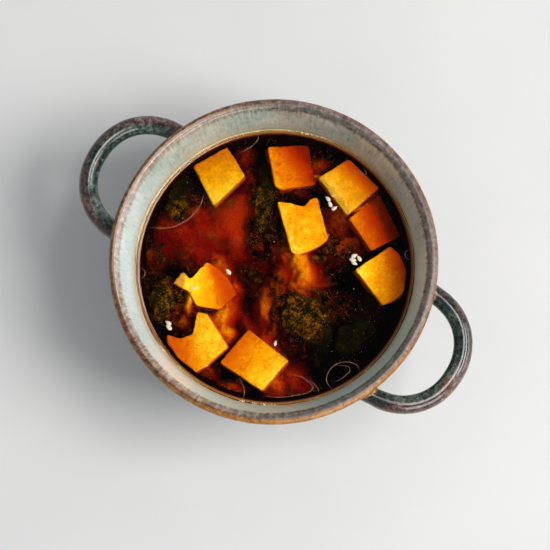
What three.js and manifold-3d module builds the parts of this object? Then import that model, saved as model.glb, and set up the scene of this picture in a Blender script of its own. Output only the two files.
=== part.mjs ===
// A round stoneware soup bowl with two loop handles, filled with clear brown miso soup.
// Cut tofu, wakame leaves and sesame lie in the top of the broth.
// Millimetres, +Z up. The origin is the middle of the foot's underside; the handles lie along X.

import * as THREE from 'three';
import { mergeVertices } from 'three/addons/utils/BufferGeometryUtils.js';
import Module from 'manifold-3d';

// ---------------------------------------------------------------- driving dimensions

const GAP = 0.3;                  // free space between neighbouring pieces
const ROUND_SIDES = 64;           // facets round the bowl and the broth
const INNER_STEPS = 9;            // facets along the inner wall; the broth's run beside them

const FLOOR_HEIGHT = 8.5;         // the bowl's inside floor
const LIP_INNER_RADIUS = 65.6;
const LIP_HEIGHT = 61.8;          // where the inner wall ends and the lip's round begins
const WALL_THICKNESS = 4.7;
const BASE_EXTRA = 0.9;           // how much thicker the wall is at the floor
const FOOT_OUTER_RADIUS = 38;
const FOOT_INNER_RADIUS = 32.5;
const FOOT_CHAMFER = 0.7;
const FOOT_RECESS = 2.6;          // how far the underside is lifted inside the foot ring
const FOOT_SIDE_HEIGHT = 3.4;     // where the foot's straight side ends and its sweep begins
const FOOT_SWEEP_SHARE = 0.43;    // the wall curve's share at which the sweep meets the outer wall

const HANDLE_HEIGHT = 53.4;       // middle of the handle's band
const HANDLE_LOOP_START = 64;     // X where the loop's curve begins
const HANDLE_LOOP_REACH = 26.5;   // from there to the middle of the band at the tip
const HANDLE_LOOP_SPREAD = 25.5;  // from the handle's middle line to the band at its roots
const HANDLE_LOOP_SQUARENESS = 2.15;
const HANDLE_LOOP_ANGLE = 79;     // how far round the loop its square sections go, to each side
const HANDLE_HALF_WIDTH = 4.05;   // half the band's width, seen from above
const HANDLE_HALF_HEIGHT = 4.5;
const HANDLE_FILLET = 2.2;        // round between the band and the wall
const HANDLE_ROOT_RINGS = [-2.2, -0.1, 0.15, 0.6, 1.2, 2.2];   // distances from the wall
const HANDLE_STEPS = 15;
const HANDLE_SIDES = 12;

const SOUP_LEVEL = 45.2;
const MENISCUS_RISE = 1.5;        // how far the broth climbs the wall
const MENISCUS_WIDTH = 4.5;

const TOFU_EDGE = 0.35;           // rounding of a cut edge
const TOFU_CORNER = 1;            // rounding of a corner, seen from above
const TOFU_UNEVENNESS = 0.22;

const LEAF_THICKNESS = 0.8;
const LEAF_ROWS = 14;
const LEAF_COLUMNS = 5;

const SEED_LENGTH = 3.1;
const SEED_WIDTH = 1.9;
const SEED_HEIGHT = 1.3;
const SEED_SINK = 0.25;           // how far a seed's middle lies above the broth

const radians = THREE.MathUtils.degToRad;

// ---------------------------------------------------------------- materials

const finishes = {
  glaze: new THREE.MeshStandardMaterial({ color: '#5d6f68', roughness: 0.3, metalness: 0 }),
  broth: new THREE.MeshStandardMaterial({ color: '#5a1a06', roughness: 0.08, metalness: 0 }),
  tofu: new THREE.MeshStandardMaterial({ color: '#f0b02a', roughness: 0.5, metalness: 0 }),
  wakame: new THREE.MeshStandardMaterial({ color: '#1f2a12', roughness: 0.35, metalness: 0 }),
};

const bowlAndSoup = new THREE.Group();

function addPiece(name, geometry, finish, place = new THREE.Matrix4()) {
  const mesh = new THREE.Mesh(geometry, finishes[finish]);
  mesh.name = name;
  place.decompose(mesh.position, mesh.quaternion, mesh.scale);
  bowlAndSoup.add(mesh);
}

// ---------------------------------------------------------------- solids

const wasm = await Module();
wasm.setup();

function solidFrom(geometry, place = new THREE.Matrix4()) {
  const bare = geometry.clone().applyMatrix4(place);
  bare.deleteAttribute('normal');
  bare.deleteAttribute('uv');
  const merged = mergeVertices(bare, 1e-4);
  return new wasm.Manifold(new wasm.Mesh({
    numProp: 3,
    vertProperties: new Float32Array(merged.attributes.position.array),
    triVerts: new Uint32Array(merged.index.array),
  }));
}

function geometryFrom(solid) {
  const mesh = solid.getMesh();
  const geometry = new THREE.BufferGeometry();
  geometry.setAttribute('position', new THREE.BufferAttribute(mesh.vertProperties, 3));
  geometry.setIndex(new THREE.BufferAttribute(mesh.triVerts, 1));
  geometry.computeVertexNormals();
  return geometry;
}

// The largest of the bodies that a cut leaves, so that no loose scrap stays.
function largestBody(solid) {
  const bodies = solid.decompose();
  return bodies.reduce((a, b) => (b.volume() > a.volume() ? b : a));
}

// A closed skin over rings of equal point count, with a fan over each end.
function geometryFromRings(rings) {
  const sides = rings[0].length;
  const points = rings.flat();
  const faces = [];
  for (let ring = 0; ring + 1 < rings.length; ring += 1) {
    for (let side = 0; side < sides; side += 1) {
      const a = ring * sides + side;
      const b = ring * sides + ((side + 1) % sides);
      faces.push(a, b, b + sides, a, b + sides, a + sides);
    }
  }
  const ends = [rings[0], rings.at(-1)];
  ends.forEach((ring, end) => {
    const middle = new THREE.Vector3();
    ring.forEach((point) => middle.addScaledVector(point, 1 / sides));
    const hub = points.push(middle) - 1;
    const first = end === 0 ? 0 : (rings.length - 1) * sides;
    for (let side = 0; side < sides; side += 1) {
      const a = first + side;
      const b = first + ((side + 1) % sides);
      faces.push(hub, ...(end === 0 ? [b, a] : [a, b]));
    }
  });
  return new THREE.BufferGeometry().setFromPoints(points).setIndex(faces);
}

// A slab over a grid of columns by rows: both faces are split into triangles alike.
function slabFromGrid(columns, rows, topAt, bottomAt) {
  const points = [];
  const faces = [];
  const perFace = columns * rows;
  for (const at of [topAt, bottomAt]) {
    for (let row = 0; row < rows; row += 1) {
      for (let column = 0; column < columns; column += 1) {
        points.push(at(column / (columns - 1), row / (rows - 1)));
      }
    }
  }
  for (let row = 0; row + 1 < rows; row += 1) {
    for (let column = 0; column + 1 < columns; column += 1) {
      const a = row * columns + column;
      const quad = [a, a + 1, a + columns + 1, a, a + columns + 1, a + columns];
      faces.push(...quad, ...quad.map((point) => point + perFace).reverse());
    }
  }
  const rim = [];
  for (let column = 0; column + 1 < columns; column += 1) rim.push(column);
  for (let row = 0; row + 1 < rows; row += 1) rim.push(row * columns + columns - 1);
  for (let column = columns - 1; column > 0; column -= 1) rim.push(perFace - columns + column);
  for (let row = rows - 1; row > 0; row -= 1) rim.push(row * columns);
  rim.forEach((a, i) => {
    const b = rim[(i + 1) % rim.length];
    faces.push(a, a + perFace, b + perFace, a, b + perFace, b);
  });
  return new THREE.BufferGeometry().setFromPoints(points).setIndex(faces);
}

// ---------------------------------------------------------------- bowl

// The inner wall, from the middle of the floor to the lip: x is the radius, y the height.
const innerWall = new THREE.CubicBezierCurve(
  new THREE.Vector2(0, FLOOR_HEIGHT),
  new THREE.Vector2(58, FLOOR_HEIGHT),
  new THREE.Vector2(51.5, 23),
  new THREE.Vector2(LIP_INNER_RADIUS, LIP_HEIGHT),
);

// A point that lies off the inner wall, by a distance into the clay, or into the soup if negative.
function offInnerWall(t, distance) {
  const along = innerWall.getTangent(t);
  const point = innerWall.getPoint(t);
  return new THREE.Vector2(point.x + along.y * distance, point.y - along.x * distance);
}

function outerWallAt(t) {
  return offInnerWall(t, WALL_THICKNESS + BASE_EXTRA * (1 - t));
}

// The hollow sweep from the foot's upright side into the outer wall.
function footSweep() {
  const end = outerWallAt(FOOT_SWEEP_SHARE);
  const along = innerWall.getTangent(FOOT_SWEEP_SHARE);
  const start = new THREE.Vector2(FOOT_OUTER_RADIUS, FOOT_SIDE_HEIGHT);
  const cornerHeight = end.y - (along.y / along.x) * (end.x - start.x);
  return new THREE.QuadraticBezierCurve(start, new THREE.Vector2(start.x, cornerHeight), end);
}

function roundUp(profile) {
  return new THREE.LatheGeometry(profile, ROUND_SIDES).rotateX(Math.PI / 2);
}

function bowlProfile() {
  const points = [
    new THREE.Vector2(0, FOOT_RECESS),
    new THREE.Vector2(FOOT_INNER_RADIUS - 1, FOOT_RECESS),
    new THREE.Vector2(FOOT_INNER_RADIUS, FOOT_CHAMFER),
    new THREE.Vector2(FOOT_INNER_RADIUS + FOOT_CHAMFER, 0),
    new THREE.Vector2(FOOT_OUTER_RADIUS - FOOT_CHAMFER, 0),
    new THREE.Vector2(FOOT_OUTER_RADIUS, FOOT_CHAMFER),
  ];
  const sweepSteps = 3;
  for (let i = 0; i < sweepSteps; i += 1) points.push(footSweep().getPoint(i / sweepSteps));
  const steps = 8;
  for (let i = 0; i <= steps; i += 1) {
    points.push(outerWallAt(THREE.MathUtils.lerp(FOOT_SWEEP_SHARE, 1, i / steps)));
  }
  const outerLip = outerWallAt(1);
  const innerLip = innerWall.getPoint(1);
  const lipMiddle = outerLip.clone().add(innerLip).multiplyScalar(0.5);
  const lipSteps = 6;
  for (let i = 1; i <= lipSteps; i += 1) {
    points.push(outerLip.clone().rotateAround(lipMiddle, (Math.PI * i) / lipSteps));
  }
  for (let i = 1; i <= INNER_STEPS; i += 1) points.push(innerWall.getPoint(1 - i / INNER_STEPS));
  return points;
}

// The outer wall's radius at a height, by halving the curve's span.
function outerRadiusAt(height) {
  let low = 0;
  let high = 1;
  for (let i = 0; i < 30; i += 1) {
    const middle = (low + high) / 2;
    if (outerWallAt(middle).y < height) low = middle;
    else high = middle;
  }
  return outerWallAt(low).x;
}

// The middle of one handle's band at an angle round its loop.
function loopPoint(angle) {
  const [c, s] = [Math.cos(radians(angle)), Math.sin(radians(angle))];
  const power = 2 / HANDLE_LOOP_SQUARENESS;
  return new THREE.Vector3(
    HANDLE_LOOP_START + HANDLE_LOOP_REACH * c ** power,
    HANDLE_LOOP_SPREAD * Math.sign(s) * Math.abs(s) ** power,
    HANDLE_HEIGHT,
  );
}

function sectionAngles() {
  return Array.from({ length: HANDLE_SIDES }, (_, side) => (2 * Math.PI * side) / HANDLE_SIDES);
}

// The band's section at an angle round the loop, square to its middle line.
function loopRing(angle) {
  const middle = loopPoint(angle);
  const along = loopPoint(angle + 1).sub(loopPoint(angle - 1)).normalize();
  const across = new THREE.Vector3(0, 0, 1).cross(along);
  return sectionAngles().map((turn) => middle.clone()
    .addScaledVector(across, HANDLE_HALF_WIDTH * Math.cos(turn))
    .setZ(middle.z + HANDLE_HALF_HEIGHT * Math.sin(turn)));
}

// How far the fillet stands out of the band at a distance from the wall.
function filletAt(distanceToWall) {
  const rest = THREE.MathUtils.clamp(1 - distanceToWall / HANDLE_FILLET, 0, 1);
  return HANDLE_FILLET * (1 - Math.sqrt(1 - rest * rest));
}

// The band's outline at one root (side -1 or 1), every point equally far from the outer wall.
function rootRing(side, distanceToWall) {
  const swell = filletAt(distanceToWall);
  return sectionAngles().map((turn) => {
    const inwards = (HANDLE_HALF_WIDTH + swell) * Math.cos(turn);
    const y = side * (HANDLE_LOOP_SPREAD - inwards);
    const z = HANDLE_HEIGHT + (HANDLE_HALF_HEIGHT + swell) * Math.sin(turn);
    const radius = outerRadiusAt(z) + distanceToWall;
    return new THREE.Vector3(Math.sqrt(radius * radius - y * y), y, z);
  });
}

function handleGeometry() {
  const firstRoot = HANDLE_ROOT_RINGS.map((distance) => rootRing(-1, distance));
  const lastRoot = HANDLE_ROOT_RINGS.map((distance) => rootRing(1, distance)).reverse();
  const loop = [];
  for (let i = 0; i <= HANDLE_STEPS; i += 1) {
    loop.push(loopRing(HANDLE_LOOP_ANGLE * ((2 * i) / HANDLE_STEPS - 1)));
  }
  return geometryFromRings([...firstRoot, ...loop, ...lastRoot]);
}

function bowlSolid() {
  const handle = handleGeometry();
  const halfTurn = new THREE.Matrix4().makeRotationZ(Math.PI);
  return solidFrom(roundUp(bowlProfile()))
    .add(solidFrom(handle))
    .add(solidFrom(handle, halfTurn));
}

// ---------------------------------------------------------------- tofu

// Each piece: its outline seen from above, its thickness, how steeply its top falls and
// towards which heading, and how far its highest corner stands above the broth.
const tofuPieces = [
  {
    outline: [[-54.7, 18.1], [-46.8, 33.5], [-32.6, 26.9], [-36.9, 8]],
    thickness: 7, tilt: 8, downhill: 140, rise: 0.3,
  },
  {
    outline: [[-31.9, 43], [-17.4, 53.8], [-5, 40.3], [-16, 29.7], [-19.4, 30.1]],
    thickness: 7, tilt: 12, downhill: 60, rise: -1.2,
  },
  {
    outline: [
      [-14.8, 24.5], [-8.4, 27.4], [-3.4, 29], [-3.5, 32.9], [-0.9, 35.8],
      [13.2, 22.4], [11, 17], [6.2, 10.2], [2.8, 8.7],
    ],
    thickness: 15, tilt: 3, downhill: 60, rise: -0.3,
  },
  {
    outline: [[-5.4, 43], [0.9, 57.6], [19.6, 53.8], [14.2, 35.4]],
    thickness: 7, tilt: 8, downhill: 73, rise: 0.3,
  },
  {
    outline: [[15.5, 34.6], [20.8, 51.8], [38.6, 41.5], [31.4, 28.7]],
    thickness: 7, tilt: 12, downhill: 50, rise: -1.5,
  },
  {
    outline: [
      [29.8, 17.3], [37.3, 35], [43, 34], [49.2, 29.6],
      [53.3, 21], [51.3, 14.5], [47.8, 10.8],
    ],
    thickness: 8, tilt: 10, downhill: 35, rise: 0.3,
  },
  {
    outline: [
      [-33.3, -30], [-32.2, -23.9], [-27.6, -24.1], [-26.2, -14.3], [-19.6, -13.8],
      [-13.4, -15.5], [-6.9, -18.8], [-10.1, -28.3], [-19.1, -32.8], [-25.6, -29.7],
    ],
    thickness: 13, tilt: 6, downhill: 25, rise: 0.4,
  },
  {
    outline: [
      [-21.9, -52.8], [-23.4, -50.3], [-16.9, -48.5], [-13.7, -43.2], [-17.6, -35.3],
      [-13.7, -32.9], [2.1, -40.4], [-0.7, -51.1], [-3.4, -57.3], [-14.7, -55.4],
    ],
    thickness: 7, tilt: 5, downhill: 213, rise: 0.3,
  },
  {
    outline: [[2.8, -47.9], [5, -29.1], [27.3, -31.2], [25.2, -48.4]],
    thickness: 11, tilt: 5, downhill: 160, rise: -0.2,
  },
];

// A closed outline with each corner rounded.
function roundedShape(corners, radius) {
  const shape = new THREE.Shape();
  corners.forEach((corner, i) => {
    const before = corners.at(i - 1);
    const after = corners[(i + 1) % corners.length];
    const cutTowards = (other) => {
      const step = other.clone().sub(corner);
      return corner.clone().add(step.setLength(Math.min(radius, step.length() * 0.4)));
    };
    const start = cutTowards(before);
    const end = cutTowards(after);
    if (i === 0) shape.moveTo(start.x, start.y);
    else shape.lineTo(start.x, start.y);
    shape.quadraticCurveTo(corner.x, corner.y, end.x, end.y);
  });
  shape.closePath();
  return shape;
}

// Soft waves, a function of the point alone, so that shared points stay together.
function makeUneven(geometry, amount) {
  const position = geometry.attributes.position;
  const point = new THREE.Vector3();
  for (let i = 0; i < position.count; i += 1) {
    point.fromBufferAttribute(position, i);
    const wave = new THREE.Vector3(
      Math.sin(0.9 * point.y + 0.7 * point.z),
      Math.sin(0.8 * point.z + 1.1 * point.x),
      Math.sin(0.7 * point.x - 0.9 * point.y),
    );
    point.addScaledVector(wave, amount);
    position.setXYZ(i, point.x, point.y, point.z);
  }
  return geometry;
}

function middleOf(outline) {
  const sum = outline.reduce(([x, y], [px, py]) => [x + px, y + py], [0, 0]);
  return new THREE.Vector2(sum[0] / outline.length, sum[1] / outline.length);
}

// The piece about the middle of its top face. Grown and raised, it is the pocket it lies in.
function tofuGeometry({ outline, thickness }, grow = 0, raise = 0) {
  const middle = middleOf(outline);
  const corners = outline.map(([x, y]) => new THREE.Vector2(x, y).sub(middle)).reverse();
  const shape = roundedShape(corners, TOFU_CORNER);
  const edge = grow > 0 ? 0.1 : TOFU_EDGE;
  const height = thickness + grow + raise;
  const geometry = new THREE.ExtrudeGeometry(shape, {
    depth: height - 2 * edge,
    curveSegments: grow > 0 ? 2 : 3,
    steps: 1,
    bevelThickness: edge,
    bevelSize: edge,
    bevelOffset: grow - edge,
    bevelSegments: grow > 0 ? 1 : 2,
  });
  return geometry.translate(0, 0, edge - thickness - grow);
}

function tofuPlace({ outline, tilt, downhill, rise }) {
  const middle = middleOf(outline);
  const slope = Math.tan(radians(tilt));
  const fall = new THREE.Vector2(Math.cos(radians(downhill)), Math.sin(radians(downhill)));
  const heights = outline.map(([x, y]) => -slope * fall.dot(new THREE.Vector2(x, y).sub(middle)));
  const topMiddle = SOUP_LEVEL + rise - Math.max(...heights);
  const normal = new THREE.Vector3(slope * fall.x, slope * fall.y, 1).normalize();
  return new THREE.Matrix4().compose(
    new THREE.Vector3(middle.x, middle.y, topMiddle),
    new THREE.Quaternion().setFromUnitVectors(new THREE.Vector3(0, 0, 1), normal),
    new THREE.Vector3(1, 1, 1),
  );
}

// ---------------------------------------------------------------- wakame

// Each leaf: the middle of its blade, its length and width, its heading, how deep its
// middle lies under the surface, and the phase of its ripples.
const leaves = [
  { middle: [-50.3, 3.2], length: 21, width: 10, heading: 118, depth: 1.5, phase: 0.4 },
  { middle: [-19.1, 20], length: 25, width: 8, heading: 128, depth: 1.3, phase: 1.7 },
  { middle: [-34, -39.3], length: 17, width: 11, heading: 128, depth: 1.4, phase: 2.9 },
  { middle: [25, -11], length: 27, width: 18, heading: -32, depth: 1.6, phase: 4.1 },
  { middle: [46.2, -7.2], length: 20, width: 11, heading: 58, depth: 1.9, phase: 5.3 },
];

const leafRipple = 0.45;

// A point of the blade: u runs across it and v along it, both from 0 to 1.
function leafPoint(leaf, u, v, grow) {
  const lobes = 1 + 0.16 * Math.sin(9 * v + leaf.phase) + 0.08 * Math.sin(23 * v + 2 * leaf.phase);
  const halfWidth = (leaf.width / 2) * (0.16 + 0.84 * Math.sin(Math.PI * v) ** 0.7) * lobes + grow;
  const bend = 0.08 * leaf.length * Math.sin(Math.PI * v + leaf.phase);
  const along = (v - 0.5) * (leaf.length + 2 * grow);
  const across = (2 * u - 1) * halfWidth + bend;
  const [c, s] = [Math.cos(radians(leaf.heading)), Math.sin(radians(leaf.heading))];
  const ripple = Math.sin(8 * v + leaf.phase) * Math.cos(5 * u + leaf.phase);
  return new THREE.Vector3(
    leaf.middle[0] + c * along - s * across,
    leaf.middle[1] + s * along + c * across,
    SOUP_LEVEL - leaf.depth + leafRipple * ripple,
  );
}

function leafGeometry(leaf) {
  const lift = new THREE.Vector3(0, 0, LEAF_THICKNESS / 2);
  return slabFromGrid(
    LEAF_COLUMNS,
    LEAF_ROWS,
    (u, v) => leafPoint(leaf, 1 - u, v, 0).add(lift),
    (u, v) => leafPoint(leaf, 1 - u, v, 0).sub(lift),
  );
}

function leafPocket(leaf) {
  const drop = LEAF_THICKNESS / 2 + GAP;
  return slabFromGrid(
    LEAF_COLUMNS,
    LEAF_ROWS,
    (u, v) => leafPoint(leaf, 1 - u, v, GAP).setZ(SOUP_LEVEL + 5),
    (u, v) => leafPoint(leaf, 1 - u, v, GAP).sub(new THREE.Vector3(0, 0, drop)),
  );
}

// ---------------------------------------------------------------- sesame

// Each seed: where it floats, and its heading.
const seeds = [
  [5.4, 35.9, 148], [8, 35.3, 66], [3.4, 37.3, 167],
  [26.6, 22.4, 57], [27, 20.5, 20], [29, 22.5, 156], [28.4, 19.6, 8],
  [-15.5, -12.9, 162], [-25.1, -45.6, 178], [-23.9, -47.1, 172], [18.6, -28.1, 110],
];

// Seeds on tofu: the block's number, the place, the heading and the height.
const seedsOnTofu = [
  [4, 3.8, 40, 159, 45.6],
  [7, -24.1, -26.5, 47, 44.9],
];

function seedSolid(x, y, heading, height = SOUP_LEVEL + SEED_SINK) {
  const seed = new THREE.SphereGeometry(0.5, 5, 4)
    .scale(SEED_LENGTH, SEED_WIDTH, SEED_HEIGHT)
    .rotateZ(radians(heading))
    .translate(x, y, height);
  return solidFrom(seed);
}

// A placed block joined with a seed that lies on it.
function withSeed(geometry, place, seed) {
  const whole = solidFrom(geometry, place).add(seed);
  return geometryFrom(whole).applyMatrix4(place.clone().invert());
}

// ---------------------------------------------------------------- broth

// The curve's share at which the inner wall reaches a height.
function innerShareAt(height) {
  let low = 0;
  let high = 1;
  for (let i = 0; i < 30; i += 1) {
    const middle = (low + high) / 2;
    if (innerWall.getPoint(middle).y < height) low = middle;
    else high = middle;
  }
  return low;
}

function brothProfile() {
  const top = innerShareAt(SOUP_LEVEL + MENISCUS_RISE);
  const points = [new THREE.Vector2(0, FLOOR_HEIGHT + GAP)];
  for (let i = 1; i < top * INNER_STEPS; i += 1) points.push(offInnerWall(i / INNER_STEPS, -GAP));
  const edge = offInnerWall(top, -GAP);
  points.push(edge);
  for (const share of [0.3, 0.6, 1]) {
    const rise = MENISCUS_RISE * Math.exp(-3 * share);
    const height = share === 1 ? SOUP_LEVEL : SOUP_LEVEL + rise;
    points.push(new THREE.Vector2(edge.x - MENISCUS_WIDTH * share, height));
  }
  points.push(new THREE.Vector2(0, SOUP_LEVEL));
  return points;
}

function brothSolid() {
  const clearance = GAP + TOFU_UNEVENNESS;
  const pockets = [
    ...tofuPieces.map((piece) => solidFrom(tofuGeometry(piece, clearance, 12), tofuPlace(piece))),
    ...leaves.map((leaf) => solidFrom(leafPocket(leaf))),
  ];
  let broth = solidFrom(roundUp(brothProfile()));
  for (const pocket of pockets) broth = broth.subtract(pocket);
  broth = largestBody(broth);
  for (const seed of seeds) broth = broth.add(seedSolid(...seed));
  return broth;
}

// ---------------------------------------------------------------- the part

addPiece('bowl', geometryFrom(bowlSolid()), 'glaze');
addPiece('broth', geometryFrom(brothSolid()), 'broth');
tofuPieces.forEach((piece, i) => {
  const place = tofuPlace(piece);
  let geometry = makeUneven(tofuGeometry(piece), TOFU_UNEVENNESS);
  for (const [block, ...seed] of seedsOnTofu) {
    if (block === i + 1) geometry = withSeed(geometry, place, seedSolid(...seed));
  }
  addPiece(`tofu_${i + 1}`, geometry, 'tofu', place);
});
leaves.forEach((leaf, i) => addPiece(`wakame_${i + 1}`, leafGeometry(leaf), 'wakame'));

export default bowlAndSoup;
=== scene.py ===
import itertools
import math

import bmesh
import bpy
import numpy as np
from mathutils import Matrix, Vector


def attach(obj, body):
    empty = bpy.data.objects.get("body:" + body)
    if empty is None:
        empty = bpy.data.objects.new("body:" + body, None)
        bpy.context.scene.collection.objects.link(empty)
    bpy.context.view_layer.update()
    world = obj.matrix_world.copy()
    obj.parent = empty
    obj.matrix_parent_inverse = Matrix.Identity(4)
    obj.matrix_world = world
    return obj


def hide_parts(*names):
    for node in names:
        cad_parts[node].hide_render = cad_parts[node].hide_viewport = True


# The looks of a stoneware bowl of clear miso soup. Lengths are in millimetres until a mesh is
# made. +Z is up, the handles lie along X, and the origin is the middle of the foot's underside.

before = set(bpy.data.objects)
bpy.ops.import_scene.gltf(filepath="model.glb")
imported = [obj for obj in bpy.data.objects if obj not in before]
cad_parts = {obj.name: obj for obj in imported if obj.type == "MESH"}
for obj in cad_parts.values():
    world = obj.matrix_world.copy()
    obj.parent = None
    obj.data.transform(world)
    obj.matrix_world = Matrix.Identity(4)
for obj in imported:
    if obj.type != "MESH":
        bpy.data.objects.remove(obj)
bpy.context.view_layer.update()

MM = 0.001

# ---- driving dimensions

# The bowl's sizes are those of the solids, so that the fine bowl stays where they are.
FLOOR_HEIGHT = 8.5
LIP_INNER_RADIUS = 65.6
LIP_HEIGHT = 61.8
WALL_THICKNESS = 4.7
BASE_EXTRA = 0.9
FOOT_OUTER_RADIUS = 38.0
FOOT_INNER_RADIUS = 32.5
FOOT_CHAMFER = 0.7
FOOT_ROUNDING = 0.5
FOOT_RECESS = 2.6
FOOT_SIDE_HEIGHT = 3.4
FOOT_SWEEP_SHARE = 0.43
GLAZE_STEP = 0.16  # how far the glaze stands proud of the bare foot
GLAZE_LINE = 2.3  # height of the glaze's lower edge

HANDLE_HEIGHT = 53.4
HANDLE_LOOP_START = 64.0
HANDLE_LOOP_REACH = 26.5
HANDLE_LOOP_SPREAD = 25.5
HANDLE_LOOP_SQUARENESS = 2.15
HANDLE_LOOP_ANGLE = 79.0  # how far round the loop its square sections go
HANDLE_HALF_WIDTH = 4.05
HANDLE_HALF_HEIGHT = 4.5
HANDLE_FILLET = 2.2
HANDLE_RINGS = 120
HANDLE_SIDES = 44

SOUP_LEVEL = 45.2
MENISCUS_RISE = 1.45  # of which the last part is a thin film on the wall
FILM_RISE = 0.75
FILM_WIDTH = 0.7
MENISCUS_WIDTH = 3.6
INTO_WALL = 0.15  # how far the liquid reaches into the clay, so that no gap shows

# ---- numbers and shapes


def soft_noise(points, size, seed):
    """Smooth random values from -1 to 1 at points, whose bumps are about size across."""
    table = np.random.default_rng(seed).uniform(-1.0, 1.0, (32, 32, 32))
    place = np.asarray(points, float) / size
    cell = np.floor(place).astype(int)
    part = place - cell
    part = part * part * (3.0 - 2.0 * part)
    total = np.zeros(len(place))
    for corner in itertools.product((0, 1), repeat=3):
        x, y, z = ((cell + corner) % 32).T
        weight = np.prod(np.where(corner, part, 1.0 - part), axis=1)
        total += weight * table[x, y, z]
    return total


def layered_noise(points, *layers):
    """Soft noise summed over layers, each with its strength, size and seed."""
    return sum(strength * soft_noise(points, size, seed) for strength, size, seed in layers)


def smooth_step(value, low, high):
    share = np.clip((value - low) / (high - low), 0.0, 1.0)
    return share * share * (3.0 - 2.0 * share)


def flat_points(x, y):
    return np.stack([x, y, np.zeros_like(x)], -1)


def towards(heading):
    """The direction of a heading in degrees, as x and y."""
    return math.cos(math.radians(heading)), math.sin(math.radians(heading))


def circle(steps):
    """Even angles once round."""
    return np.linspace(0, 2 * math.pi, steps, endpoint=False)


def unit(vectors):
    return vectors / np.linalg.norm(vectors, axis=1, keepdims=True)


def radius_of(points):
    return np.hypot(points[:, 0], points[:, 1])


def bend(start, corner, end, t):
    """A curve from start to end that leaves and arrives towards the corner."""
    return (1 - t) ** 2 * start + 2 * t * (1 - t) * corner + t ** 2 * end


def smooth_path(points, per_span):
    """A Catmull-Rom curve through the points."""
    points = np.asarray(points, float)
    padded = np.vstack([2 * points[0] - points[1], points, 2 * points[-1] - points[-2]])
    path = []
    for a, b, c, d in zip(padded, padded[1:], padded[2:], padded[3:]):
        for t in np.arange(per_span) / per_span:
            path.append(0.5 * (2 * b + (c - a) * t + (2 * a - 5 * b + 4 * c - d) * t ** 2
                               + (3 * b - a - 3 * c + d) * t ** 3))
    path.append(points[-1])
    return np.array(path)


def grid_faces(rows, columns, wrap):
    """Quads over a grid of points; wrap joins each row's last point to its first."""
    last = columns if wrap else columns - 1
    row, column = np.meshgrid(np.arange(rows - 1), np.arange(last), indexing="ij")
    after = (column + 1) % columns
    corners = [(row, column), (row, after), (row + 1, after), (row + 1, column)]
    return np.stack([r * columns + c for r, c in corners], -1).reshape(-1, 4).tolist()


def closed_rings(rings, start=None, end=None):
    """Points and faces of a skin over rings of equal count, closed by a fan at each end."""
    count, sides, _ = rings.shape
    points = rings.reshape(-1, 3)
    start = rings[0].mean(axis=0) if start is None else start
    end = rings[-1].mean(axis=0) if end is None else end
    points = np.vstack([points, start, end])
    faces = grid_faces(count, sides, wrap=True)
    first, last, base = count * sides, count * sides + 1, (count - 1) * sides
    for side in range(sides):
        after = (side + 1) % sides
        faces.append([first, after, side])
        faces.append([last, base + side, base + after])
    return points, faces


def closed_sheet(top, bottom, rows, columns):
    """Two grids of points, one above the other, joined round their rim."""
    count = rows * columns
    faces = [face[::-1] for face in grid_faces(rows, columns, wrap=False)]
    faces += [[corner + count for corner in face[::-1]] for face in faces]
    rim = list(range(columns))
    rim += [row * columns + columns - 1 for row in range(1, rows)]
    rim += [count - columns + column for column in range(columns - 2, -1, -1)]
    rim += [row * columns for row in range(rows - 2, 0, -1)]
    faces += [[a, b, b + count, a + count] for a, b in zip(rim, rim[1:] + rim[:1])]
    return np.vstack([top, bottom]), faces


def turned(profile, segments):
    """A profile turned round Z. It starts and ends on the axis, with the solid on its left."""
    angle = circle(segments)
    body = np.asarray(profile)[1:-1]
    height = np.repeat(body[:, 1:], segments, axis=1)
    rings = np.stack([body[:, :1] * np.cos(angle), body[:, :1] * np.sin(angle), height], -1)
    return closed_rings(rings, (0, 0, profile[0][1]), (0, 0, profile[-1][1]))


def joined(parts):
    """One list of points and faces from several."""
    points, faces, start = [], [], 0
    for part_points, part_faces in parts:
        points.append(part_points)
        faces += [[start + corner for corner in face] for face in part_faces]
        start += len(part_points)
    return np.vstack(points), faces


def add_object(name, data):
    added = bpy.data.objects.new(name, data)
    bpy.context.scene.collection.objects.link(added)
    return added


def make_piece(name, points, faces):
    """A smooth mesh object at the origin, from points in millimetres."""
    mesh = bpy.data.meshes.new(name)
    mesh.from_pydata((np.asarray(points) * MM).tolist(), [], faces)
    mesh.shade_smooth()
    return add_object(name, mesh)


def points_of(mesh):
    flat = np.empty(len(mesh.vertices) * 3, np.float32)
    mesh.vertices.foreach_get("co", flat)
    return flat.reshape(-1, 3).astype(float) / MM


def set_points(mesh, points):
    mesh.vertices.foreach_set("co", (points * MM).astype(np.float32).ravel())
    mesh.update()


def normals_of(mesh):
    flat = np.empty(len(mesh.vertices) * 3, np.float32)
    mesh.vertex_normals.foreach_get("vector", flat)
    return flat.reshape(-1, 3).astype(float)


def set_values(mesh, name, values):
    """Gives each point of the mesh a number that its material can read."""
    layer = mesh.attributes.new(name, "FLOAT", "POINT")
    layer.data.foreach_set("value", np.asarray(values, np.float32))


def apply_modifiers(piece):
    evaluated = piece.evaluated_get(bpy.context.evaluated_depsgraph_get())
    mesh = bpy.data.meshes.new_from_object(evaluated)
    mesh.name = piece.name
    piece.modifiers.clear()
    piece.data = mesh


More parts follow.
